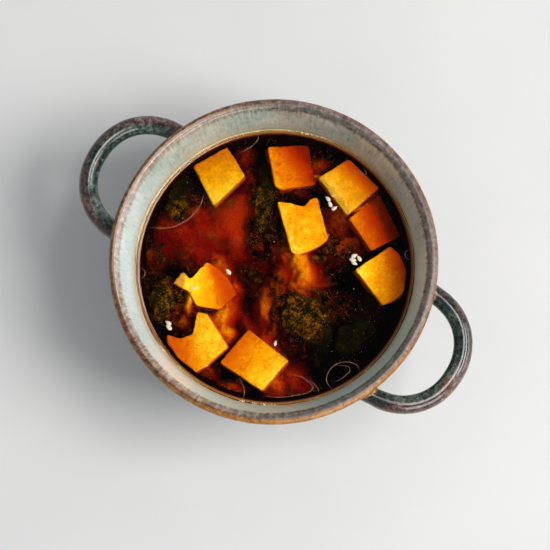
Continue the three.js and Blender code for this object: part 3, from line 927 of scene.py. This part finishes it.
def leaf_blade(middle, length, width, heading, depth, seed, rows=46, columns=24):
    """A sunken leaf: a thin closed sheet with a lobed edge and ruffles."""
    draw = np.random.default_rng(seed)
    phase = draw.uniform(0, 6, 4)
    v, u = np.meshgrid(np.linspace(0, 1, rows), np.linspace(-1, 1, columns), indexing="ij")
    lobes = 1 + 0.2 * np.sin(8 * v + phase[0]) + 0.1 * np.sin(21 * v + phase[1])
    half = width / 2 * (0.1 + 0.9 * np.sin(math.pi * v) ** 0.6) * lobes
    along = (v - 0.5) * length
    across = u * half + 0.1 * length * np.sin(math.pi * v + phase[2])
    c, s = towards(heading)
    x = middle[0] + c * along - s * across
    y = middle[1] + s * along + c * across
    ruffle = np.abs(u) ** 1.5 * np.sin(11 * v + phase[3] + 1.5 * u) * 0.07 * width
    rough = 0.5 * soft_noise(flat_points(x.ravel(), y.ravel()), 3.0, seed).reshape(x.shape)
    z = SOUP_LEVEL - depth + ruffle + rough
    top = np.stack([x, y, z + LEAF_THICKNESS / 2], -1).reshape(-1, 3)
    return closed_sheet(top, top - (0, 0, LEAF_THICKNESS), rows, columns)


# Leaves that lie wholly in the broth: middle, length, width, heading and depth.
SUNKEN_LEAVES = [
    ((-46, 13), 17, 12, 120, 4.5),
    ((-24, 27), 22, 11, 118, 4.0),
    ((-14, 8), 18, 10, 100, 5.5),
    ((-37, -35), 20, 12, 40, 4.0),
    ((-31, -44), 14, 10, 150, 3.5),
    ((20, -16), 26, 16, -50, 4.6),
    ((31, -5), 24, 15, 20, 4.8),
    ((45, 2), 22, 15, 70, 5.5),
    ((46, -15), 20, 14, 40, 8.5),
    ((17, 23), 18, 9, -20, 4.6),
    ((0, 47), 22, 10, 60, 6.0),
    ((-20, 44), 16, 10, 30, 6.0),
]

# Torn shreds of weed: the middle of a drift of them, its spread and their count.
SHRED_DRIFTS = [
    ((-19, 24), 5, 12), ((-12, 14), 4, 8), ((-52, 9), 6, 12), ((-32, -36), 8, 16),
    ((-46, -24), 6, 6), ((24, -10), 10, 26), ((38, 0), 8, 10), ((14, 20), 5, 8),
    ((-6, -8), 4, 5), ((36, -22), 10, 10),
]
SHRED_LENGTHS, SHRED_WIDTHS = (2.0, 6.5), (0.25, 0.7)  # the widths as shares of the length
SHRED_DEPTHS = (1.3, 5.0)
SHRED_CLEARANCE = 4.5  # from the wall


def sunken_leaves():
    parts = [leaf_blade(*sizes, seed=200 + i) for i, sizes in enumerate(SUNKEN_LEAVES)]
    draw = np.random.default_rng(31)
    for middle, spread, count in SHRED_DRIFTS:
        for _ in range(count):
            place = np.array(middle) + draw.normal(0, spread / 2, 2)
            length = draw.uniform(*SHRED_LENGTHS)
            width, heading = length * draw.uniform(*SHRED_WIDTHS), draw.uniform(0, 360)
            depth = draw.uniform(*SHRED_DEPTHS)
            if np.hypot(*place) < inner_radius_at(SOUP_LEVEL - depth) - SHRED_CLEARANCE:
                seed = int(draw.integers(1000, 9999))
                parts.append(leaf_blade(place, length, width, heading, depth, seed, 14, 8))
    piece = make_piece("sunken_leaves", *joined(parts))
    dust_leaves(piece)
    return piece


# ---- miso in the broth

CLOUD_RADIUS = 56.4
CLOUD_DEPTH = 23.0  # of its floor, below the surface
CLOUD_CELLS = 218
CLOUD_THICKNESS = 1.5
CLOUD_SHALLOWEST = 0.7  # depth of its highest crumbs

# Where miso and weed rise in the broth: x, y, depth of the top, length, width and heading of
# the mound, how pale its miso is, and how much of it is weed.
MOUNDS = [
    # the red glow at the left, with its brighter middle
    (-27.5, 7, 6.7, 20, 15, 70, 1, 0),
    (-27, 16, 7.4, 12, 11, 80, 0.95, 0),
    (-22, 2, 7, 12, 9, -30, 0.95, 0),
    (-31, 27, 6.4, 8, 6, 60, 0.4, 0.05),
    (-38, -1, 8.6, 16, 11, 20, 0.9, 0),
    (-47, -9, 7.4, 14, 10, 20, 0.65, 0.05),
    (-33, -12, 9, 16, 9, 0, 0.8, 0),
    (-19, -5, 8.6, 11, 8, 0, 0.5, 0),
    (-46, 3, 5.4, 9, 7, 60, 0.5, 0.25),
    # round the torn tofu and between the lower blocks
    (-22, -12.5, 4.6, 13, 6, -15, 0.95, 0),
    (-11, -17, 4.8, 7, 6, -60, 0.85, 0),
    (-8, -29, 2, 13, 7, 112, 1, 0),
    (-3, -35, 1.6, 8, 6, 150, 1, 0),
    (-5, -26, 5.2, 9, 6, 120, 0.8, 0),
    (5, -27.5, 6.8, 11, 5, 150, 0.5, 0.1),
    (15, -28, 5.4, 12, 6, -20, 0.75, 0.1),
    (27, -43, 4.2, 10, 7, -60, 0.95, 0),
    (33, -36, 7, 14, 9, -30, 0.7, 0),
    (11, -54, 5.4, 9, 4, 20, 0.6, 0),
    (-3, -54, 5.2, 9, 4, -10, 0.6, 0),
    (-21, -55, 4.6, 7, 4, 0, 0.5, 0),
    # below the middle block, and its trail downwards
    (7, 8, 1.3, 12, 9, -30, 1, 0),
    (12.5, 4, 1.5, 10, 9, -35, 1, 0.1),
    (2, 6, 4.4, 8, 7, -10, 0.75, 0),
    (5, -15.5, 3.2, 12, 5, -62, 0.75, 0.3),
    (4, -4, 3.6, 12, 9, -50, 0.65, 0.55),
    (15, -22, 4.6, 9, 5, -57, 0.65, 0.2),
    # beside the right-hand blocks, and in the slit between two of them
    (12.6, 24, 2.2, 7, 4.5, 120, 0.85, 0.3),
    (12, 32, 3.3, 12, 9, 120, 0.42, 0.4),
    (20, 25, 3, 12, 9, 60, 0.5, 0.5),
    (-8.5, 48, 3.6, 9, 6, 30, 0.45, 0.3),
    (16, 43, 2.6, 11, 2.2, 66, 0.75, 0),
    (51, 22, 4.8, 7, 5, -30, 0.7, 0),
    (-5, 44, 2.6, 6, 4, 30, 0.75, 0.15),
    (-9, 34, 4.6, 9, 4, 15, 0.3, 0.35),
    (-14, 55, 6, 10, 5, 30, 0.15, 0.5),
    (-38, 33, 6.2, 10, 8, 120, 0.4, 0.1),
    # weed
    (-25, 28, 3.6, 10, 6, 120, 0.15, 0.85),
    (-18, 23, 3, 13, 7, 120, 0.25, 0.85),
    (-13.5, 15, 2.8, 12, 6, 120, 0.3, 0.8),
    (-8, 8, 3.6, 10, 6, 120, 0.35, 0.7),
    (-55, 9, 4.2, 10, 10, 120, 0.15, 0.9),
    (-54, 0, 4.4, 9, 8, 100, 0.35, 0.6),
    (-53, -9, 5.6, 8, 8, 100, 0.45, 0.2),
    (-48, -24, 3.8, 12, 8, 100, 0.45, 0.5),
    (-23, -32, 1.6, 9, 4, 115, 0.95, 0.3),
    (-30, -37, 2.4, 11, 9, 100, 0.6, 0.65),
    (-36, -43, 3.6, 10, 9, 100, 0.3, 0.85),
    (-22, -41, 2.4, 8, 6, 30, 0.6, 0.45),
    (12, -3.5, 2, 11, 9, -40, 0.8, 0.6),
    (18, -9, 2, 13, 10, -40, 0.7, 0.6),
    (26, -13, 2.1, 14, 11, -60, 0.65, 0.6),
    (22, -20, 3.6, 12, 8, -50, 0.4, 0.75),
    (-7, -8, 4.8, 13, 8, 120, 0.3, 0.6),
    (34, 0, 3.8, 11, 8, 20, 0.3, 0.8),
    (47, -6, 6.5, 17, 15, 60, 0.03, 1),
    (38, -20, 6.5, 15, 13, 60, 0.03, 0.95),
    (-20, 50, 7, 16, 8, 30, 0.2, 0.6),
    (3, 57, 7, 12, 5, 0, 0.15, 0.7),
]


def cloud_field(x, y):
    """The depth of the miso cloud's top under the surface, and its shares of pale and weed."""
    flat = flat_points(x, y)
    x = x + layered_noise(flat, (1.6, 9.0, 85), (0.9, 3.3, 86))
    y = y + layered_noise(flat, (1.6, 9.0, 87), (0.9, 3.3, 88))
    # Away from every mound, the cloud lies on its floor and is dark weed for the most part.
    total = np.zeros_like(x)
    count = np.full_like(x, 1e-6)
    weed = np.full_like(x, 0.03)
    pale = np.full_like(x, 0.003)
    weight = np.full_like(x, 0.04)
    for mx, my, depth, length, width, heading, pale_share, weed_share in MOUNDS:
        c, s = towards(heading)
        along = (c * (x - mx) + s * (y - my)) / length
        across = (-s * (x - mx) + c * (y - my)) / width
        mound = np.exp(-0.8 * (along ** 2 + across ** 2) ** 1.1)
        rise = (CLOUD_DEPTH - depth) / CLOUD_DEPTH * mound
        total += rise ** 7
        count += rise ** 6
        pull = mound ** 2 * rise
        weed += weed_share * pull
        pale += pale_share * pull
        weight += pull
    return CLOUD_DEPTH * (1 - total / count), pale / weight, weed / weight


def miso_cloud():
    """Settled miso as one closed, lumpy sheet that hangs in the broth above the bowl's floor."""
    side = np.linspace(-1, 1, CLOUD_CELLS)
    u, v = np.meshgrid(side, side, indexing="ij")
    x = (CLOUD_RADIUS * u * np.sqrt(1 - v ** 2 / 2)).ravel()
    y = (CLOUD_RADIUS * v * np.sqrt(1 - u ** 2 / 2)).ravel()
    depth, pale, weed = cloud_field(x, y)
    flat = flat_points(x, y)
    lumps = layered_noise(flat, (1.1, 5.0, 81), (0.9, 2.4, 82))
    crumbs = layered_noise(flat, (0.8, 1.3, 83), (0.4, 0.8, 84))
    unrest = np.clip(smooth_step(weed, 0.1, 0.6) + smooth_step(depth, 7.0, 4.0), 0.12, 1)
    shallow = np.clip(depth / 4.5, 0.45, 1.2)
    depth = np.maximum(depth + (lumps + crumbs) * unrest * shallow, CLOUD_SHALLOWEST)
    floor = inner_height_at(np.hypot(x, y)) + 0.4
    top = np.maximum(SOUP_LEVEL - depth, floor)
    bottom = np.maximum(top - CLOUD_THICKNESS, floor - 0.3)
    sheets = np.stack([x, y, top], -1), np.stack([x, y, bottom], -1)
    piece = make_piece("miso_cloud", *closed_sheet(*sheets, CLOUD_CELLS, CLOUD_CELLS))
    set_values(piece.data, "weed", np.tile(weed, 2))
    set_values(piece.data, "pale", np.tile(pale, 2))
    return piece


MURK_OUTSIDE, MURK_INSIDE = 0.35, 0.75  # how far its two faces lie off the wall
MURK_SEGMENTS = 200


def murky_edge():
    """Dark sediment on the wall and floor, which keeps the glaze from shining through."""
    t = wall_up_to(SOUP_LEVEL + 0.1)
    outer = off_inner_wall(t, -MURK_OUTSIDE)
    inner = off_inner_wall(t, -MURK_INSIDE)[::-1]
    outer[0] = (0, FLOOR_HEIGHT + MURK_OUTSIDE)
    inner[-1] = (0, FLOOR_HEIGHT + MURK_INSIDE)
    return make_piece("murky_edge", *turned(np.vstack([outer, inner]), MURK_SEGMENTS))


# One grain: an eight-sided bead, whose corners are pushed in and out at random.
GRAIN = np.array([(1, 0, 0), (0, 1, 0), (-1, 0, 0), (0, -1, 0), (0, 0, 1), (0, 0, -1)], float)
GRAIN_FACES = [[side, (side + 1) % 4, 4] for side in range(4)]
GRAIN_FACES += [[(side + 1) % 4, side, 5] for side in range(4)]
GRAIN_TRIALS = 32000
GRAIN_REACH = 57.0
GRAIN_RADII = (0.07, 0.17)
LARGE_GRAINS, LARGE_GRAIN_SCALE = 0.05, 1.7  # how many are large, and how much larger


def miso_grains():
    """Grains of miso that float at all depths, more of them over the weed."""
    draw = np.random.default_rng(7)
    radius = GRAIN_REACH * np.sqrt(draw.uniform(0, 1, GRAIN_TRIALS))
    angle = draw.uniform(0, 2 * math.pi, GRAIN_TRIALS)
    x, y = radius * np.cos(angle), radius * np.sin(angle)
    cloud_depth, pale, weed = cloud_field(x, y)
    patches = smooth_step(soft_noise(flat_points(x, y), 5.0, 91), -0.25, 0.5)
    thick = smooth_step(cloud_depth, 4.0, 2.0) * pale
    beside_glow = 0.25 * np.exp(-((x + 18) / 7) ** 2 - ((y - 10) / 13) ** 2)
    crowding = 0.012 + beside_glow + pale * patches * (1 - 0.4 * weed) * (1 - thick)
    parts = []
    for i in np.flatnonzero(draw.uniform(0, 1, GRAIN_TRIALS) < crowding):
        size = draw.uniform(*GRAIN_RADII)
        size *= LARGE_GRAIN_SCALE if draw.uniform() < LARGE_GRAINS else 1.0
        depth = 0.4 + 6.0 * draw.uniform() ** 1.6
        bumpy = draw.uniform(0.6, 1.4, (len(GRAIN), 1))
        middle = np.array([x[i], y[i], SOUP_LEVEL - depth])
        if radius[i] < inner_radius_at(middle[2]) - 0.8:
            parts.append((GRAIN * bumpy * size + middle, GRAIN_FACES))
    return make_piece("miso_grains", *joined(parts))


# ---- on the surface

# Sesame seeds: x, y, heading and size.
SEEDS = [
    (5.4, 35.9, 148, 1.0), (8.0, 35.3, 66, 0.95), (3.4, 37.3, 167, 0.95),
    (26.6, 22.4, 57, 1.0), (27.0, 20.5, 20, 1.05), (29.0, 22.5, 156, 1.0), (28.4, 19.6, 8, 0.95),
    (-15.5, -12.9, 162, 1.05), (-25.1, -45.6, 178, 1.0), (-23.9, -47.1, 172, 1.05),
    (18.6, -28.1, 110, 0.8),
]
# Seeds on tofu: x, y, heading, size and height.
SEEDS_ON_TOFU = [(3.8, 40.0, 159, 0.9, 45.6), (-24.1, -26.5, 47, 0.95, 44.9)]
SEED_LENGTH, SEED_WIDTH, SEED_HEIGHT = 3.1, 2.0, 1.1
SEED_FLOAT = 0.18  # how far a seed's middle lies above the surface


def seed_shape():
    rows, sides = 14, 16
    t = np.linspace(0, 1, rows + 2)[1:-1]
    girth = np.sin(math.pi * t) ** 0.62 * (1.08 - 0.5 * t)
    turn = circle(sides)
    rings = np.stack([
        np.repeat((t - 0.5)[:, None] * SEED_LENGTH, sides, axis=1),
        girth[:, None] * np.cos(turn) * SEED_WIDTH / 2,
        girth[:, None] * np.sin(turn) * SEED_HEIGHT / 2,
    ], -1)
    return closed_rings(rings, (-SEED_LENGTH / 2, 0, 0), (SEED_LENGTH / 2, 0, 0))


def turned_to(points, heading):
    c, s = towards(heading)
    return points @ np.array([[c, s, 0], [-s, c, 0], [0, 0, 1]])


def sesame():
    shape, faces = seed_shape()
    parts = []
    floating = [(*seed, SOUP_LEVEL + SEED_FLOAT) for seed in SEEDS]
    for i, (x, y, heading, size, height) in enumerate(floating + SEEDS_ON_TOFU):
        uneven = 1 + 0.06 * soft_noise(shape + 9.0 * i, 1.1, 50 + i)[:, None]
        place = np.array([x, y, height])
        parts.append((turned_to(shape * uneven * size, heading) + place, faces))
    return make_piece("sesame", *joined(parts))


STRAND_SIDES = 8
TAPER_POINTS = 8  # along a strand, over which each of its ends tapers


def strand(path, thickness):
    """A thin thread along a path of points, tapering at both ends."""
    along = unit(np.gradient(path, axis=0))
    across = unit(np.cross(along, (0, 0, 1)))
    up = np.cross(across, along)
    share = np.linspace(0, 1, len(path))
    taper = np.clip(np.minimum(share, 1 - share) * len(path) / TAPER_POINTS, 0.25, 1)
    radius = (thickness / 2 * taper)[:, None, None]
    turn = circle(STRAND_SIDES)[:, None]
    rings = path[:, None, :] + radius * (
        across[:, None, :] * np.cos(turn) + up[:, None, :] * np.sin(turn))
    points, faces = closed_rings(rings)
    return points, [face[::-1] for face in faces]


# Edges of oil pools and large flat bubbles on the surface, as points and a thickness. The edges
# are real, and their tan colour is a painted highlight of the light caught on them.
POOL_EDGES = [
    ([(-54.9, -14.7), (-50.5, -12.4), (-46.6, -9.1), (-43.4, -3.9), (-42.2, 0.9), (-42.1, 5.8),
      (-43.4, 10.5)], 0.36),
    ([(-37.9, 45.4), (-36.8, 43.1), (-37.2, 39.8), (-38.8, 36.1), (-41.1, 32.8)], 0.26),
    ([(-49.7, 27.3), (-47.7, 27.0), (-45.3, 29.0), (-45.1, 30.9)], 0.24),
    ([(3.4, 53.1), (6.1, 53.4), (9.3, 54.0), (11.2, 55.1), (11.0, 56.2), (8.7, 57.3)], 0.28),
    ([(51.0, -32.0), (46.0, -29.9), (44.5, -25.8), (45.4, -21.7), (48.6, -18.3), (52.8, -17.1),
      (56.0, -18.8)], 0.34),
    ([(48.7, -28.5), (50.6, -25.9), (51.7, -22.2), (51.9, -20.7), (50.1, -19.6), (45.9, -21.9)],
     0.30),
    ([(30.3, -36.3), (35.2, -34.4), (38.7, -34.3), (42.2, -35.2), (42.0, -38.2), (37.2, -43.0),
      (32.5, -46.8), (26.6, -49.9)], 0.32),
    ([(36.2, -33.7), (41.2, -33.7), (44.7, -34.7), (46.3, -36.5)], 0.26),
    ([(13.4, -48.9), (16.7, -50.7), (18.9, -52.9), (20.0, -55.7)], 0.26),
    ([(14.8, -54.8), (16.9, -53.7), (18.0, -52.0)], 0.22),
]
RING_SHARE = 0.72  # of those thicknesses, which gives what is drawn
RING_LIFT = 0.03  # how far a ring's middle lies above the surface
# Large bubbles that cling to the wall, whose edges are drawn the same way: heading round the bowl
# and radius.
WALL_BUBBLES = [(215.6, 2.3), (37.5, 2.1)]
WALL_BUBBLE_OFFSET = 2.0  # of their middles from the wall
WALL_BUBBLE_THICKNESS = 0.24


def on_surface(path):
    return np.column_stack([path, surface_at(path[:, 0], path[:, 1]) + RING_LIFT])


def wall_bubble(heading, radius):
    """The inner half of a bubble's edge, from wall to wall."""
    at_wall = inner_radius_at(SOUP_LEVEL + MENISCUS_RISE) - WALL_BUBBLE_OFFSET
    angle = math.radians(heading)
    turn = angle + math.pi + np.linspace(-1.5, 1.5, 24)
    x = at_wall * math.cos(angle) + radius * np.cos(turn)
    y = at_wall * math.sin(angle) + radius * np.sin(turn)
    return np.stack([x, y], -1)


def pool_edge_glints():
    parts = [strand(on_surface(smooth_path(corners, 9)), thickness * RING_SHARE)
             for corners, thickness in POOL_EDGES]
    parts += [strand(on_surface(wall_bubble(*bubble)), WALL_BUBBLE_THICKNESS)
              for bubble in WALL_BUBBLES]
    return make_piece("pool_edge_glints", *joined(parts))


def ball():
    """A round shape of unit radius and 80 faces."""
    work = bmesh.new()
    bmesh.ops.create_icosphere(work, subdivisions=2, radius=1.0)
    points = np.array([vert.co for vert in work.verts])
    faces = [[vert.index for vert in face.verts] for face in work.faces]
    work.free()
    return points, faces


# Foam at the wall: its heading round the bowl, how many bubbles and how far they spread.
FOAM = [
    (151.7, 7, 2.4), (176.3, 9, 2.2), (111.5, 6, 2.0), (108.6, 7, 1.8), (104.2, 8, 2.0),
    (132.7, 4, 1.5), (248.6, 9, 2.6), (251.5, 8, 2.2), (260.0, 6, 1.8), (290.7, 6, 2.4),
    (301.6, 7, 2.0), (321.8, 8, 2.2), (296.3, 5, 1.6), (343.9, 6, 1.8), (196.0, 4, 1.4),
]
BUBBLE_RADII = (0.14, 0.42)


def foam():
    draw = np.random.default_rng(17)
    shape, faces = ball()
    parts = []
    for heading, count, spread in FOAM:
        for _ in range(count):
            size = draw.uniform(*BUBBLE_RADII)
            angle = math.radians(heading) + draw.normal(0, spread / 60.0)
            level = SOUP_LEVEL + MENISCUS_RISE * draw.uniform(0.25, 0.95)
            radius = inner_radius_at(level) - size * draw.uniform(0.6, 1.4)
            x, y = radius * math.cos(angle), radius * math.sin(angle)
            z = SOUP_LEVEL + float(meniscus_height(radius)) + size * 0.2
            parts.append((shape * size + (x, y, z), faces))
    return make_piece("foam", *joined(parts))


# ---- the pieces


def dress(piece, slot, material, *nodes):
    """Gives a piece its finish and its body, and hides the CAD nodes that it stands for."""
    piece.data.materials.clear()
    piece.data.materials.append(material)
    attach(piece, "root")
    if nodes:
        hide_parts(*nodes)


dress(fine_bowl(), "reactive_glaze", glaze_material(), "bowl")
dress(liquid(), "miso_broth", broth_material(), "broth")

tofu = tofu_material()
for number in range(1, 10):
    dress(soft_tofu(number), "tofu", tofu, f"tofu_{number}")

weed = weed_material()
for number in range(1, 6):
    dress(leaf(number), "wakame", weed, f"wakame_{number}")

dress(sunken_leaves(), "wakame", weed)
dress(miso_cloud(), "miso_broth", cloud_material())
dress(murky_edge(), "miso_broth", murk_material())
grains = plain_material("miso_grains", "#8f6a34", "#d6b783", 0.5, 0.6)
dress(miso_grains(), "miso_broth", grains)
dress(sesame(), "sesame", plain_material("sesame", "#e3cfb0", "#f6ead6", 0.8, 0.42), "broth")
# Painted highlight: tan threads for the light caught on the edges of oil pools and bubbles.
oil_edge_glint = plain_material("oil_edge_glint", "#7d4f36", "#b5805f", 1.5, 0.3, 0.0)
dress(pool_edge_glints(), "miso_broth", oil_edge_glint)
dress(foam(), "miso_broth", plain_material("foam", "#d8b988", "#f1e2bd", 0.6, 0.2))

# ---- floor, camera and light

IMAGE_SIZE = 550  # pixels, square
FOCAL_LENGTH = 2118.26  # pixels
RIM_PIXEL = (273.0, 259.8)  # where the middle of the rim lies in the image
RIM_HEIGHT = 61.4  # of the rim's widest line
CAMERA_DISTANCE = 900.0
CAMERA_TILT = math.radians(9.4)  # away from straight down, towards the image's top
CAMERA_SIDE_TILT = math.radians(2.5)  # and towards its left
PLAN_TURN = math.radians(33)  # from the image's right to the handles' line
SENSOR_WIDTH = 36.0
FLOOR_HALF_WIDTH = 2.5  # metres

WHITE = (1.0, 1.0, 1.0)
WARM = (1.0, 0.98, 0.965)
# Lamps aimed at the bowl: name, heading, rise, distance, width and height, power and tint.
LAMPS = [
    ("key", -9, 50, 1.5, (0.8, 0.8), 20.0, (1.0, 0.985, 0.96)),
    ("top_gloss", -5, 77, 1.2, (0.7, 0.4), 9.0, WARM),
    ("low_gloss", 0, 15, 1.2, (0.9, 0.5), 6.0, WARM),
    ("key_gloss", 0, 47, 1.2, (0.7, 0.25), 7.5, WARM),
    ("front_gloss", -65, 30, 1.2, (0.8, 0.6), 9.0, WHITE),
]


def plan_direction(degrees, rise_degrees=0.0):
    """A direction from a heading in the image, where 0 is right and 90 is up."""
    angle, rise = math.radians(degrees) + PLAN_TURN, math.radians(rise_degrees)
    flat = math.cos(rise)
    return Vector((math.cos(angle) * flat, math.sin(angle) * flat, math.sin(rise)))


def add_floor():
    mesh = bpy.data.meshes.new("floor")
    corners = np.array([(-1, -1, 0), (1, -1, 0), (1, 1, 0), (-1, 1, 0)]) * FLOOR_HALF_WIDTH
    mesh.from_pydata(corners.tolist(), [], [(0, 1, 2, 3)])
    n = Nodes("pale_floor")
    shade = n.ramp(n.noise(90, 2), {0.3: "#e8e8e8", 0.7: "#ececeb"})
    mesh.materials.append(n.opaque(shade, 0.8))
    floor = add_object("floor", mesh)


def add_camera():
    target = Vector((0, 0, RIM_HEIGHT * MM))
    up = plan_direction(90)
    view = up * math.tan(CAMERA_TILT) - plan_direction(0) * math.tan(CAMERA_SIDE_TILT)
    view = (view - Vector((0, 0, 1))).normalized()
    up = (up - view * up.dot(view)).normalized()
    right = view.cross(up)
    middle = IMAGE_SIZE / 2
    x = (RIM_PIXEL[0] - middle) / FOCAL_LENGTH
    y = (middle - RIM_PIXEL[1]) / FOCAL_LENGTH
    place = target - (right * x + up * y + view) * CAMERA_DISTANCE * MM
    camera = add_object("camera", bpy.data.cameras.new("camera"))
    camera.data.sensor_width = SENSOR_WIDTH
    camera.data.lens = SENSOR_WIDTH * FOCAL_LENGTH / IMAGE_SIZE
    camera.data.clip_start = 0.01
    axes = Matrix((right, up, -view)).transposed().to_4x4()
    camera.matrix_world = Matrix.Translation(place) @ axes
    bpy.context.scene.camera = camera


def add_lamp(name, heading, rise, distance, size, power, tint):
    """The key lamp lights the bowl, and the others only shine in its gloss."""
    lamp = bpy.data.lights.new(name, "AREA")
    lamp.shape = "RECTANGLE"
    lamp.size, lamp.size_y = size
    lamp.energy = power
    lamp.color = tint
    holder = add_object(name, lamp)
    direction = plan_direction(heading, rise)
    holder.location = direction * distance
    holder.rotation_euler = direction.to_track_quat("Z", "Y").to_euler()
    is_key = name == "key"
    holder.visible_diffuse = holder.visible_transmission = is_key
    holder.visible_glossy = not is_key


def add_sky():
    """Soft light from all round, with little from straight above."""
    n = Nodes("studio", "World")
    height = n.add("SeparateXYZ", {0: n.add("TexCoord", {}, "Generated")}, "Z")
    strength = n.add("MapRange", {"Value": height, 1: 0.55, 2: 0.97, 3: 0.54, 4: 0.08})
    shade = {"Color": (0.94, 0.97, 1.0, 1.0), "Strength": strength}
    bpy.context.scene.world = n.output(n.add("Background", shade))


add_floor()
add_camera()
for lamp_values in LAMPS:
    add_lamp(*lamp_values)
add_sky()
bpy.context.scene.view_settings.view_transform = "Standard"
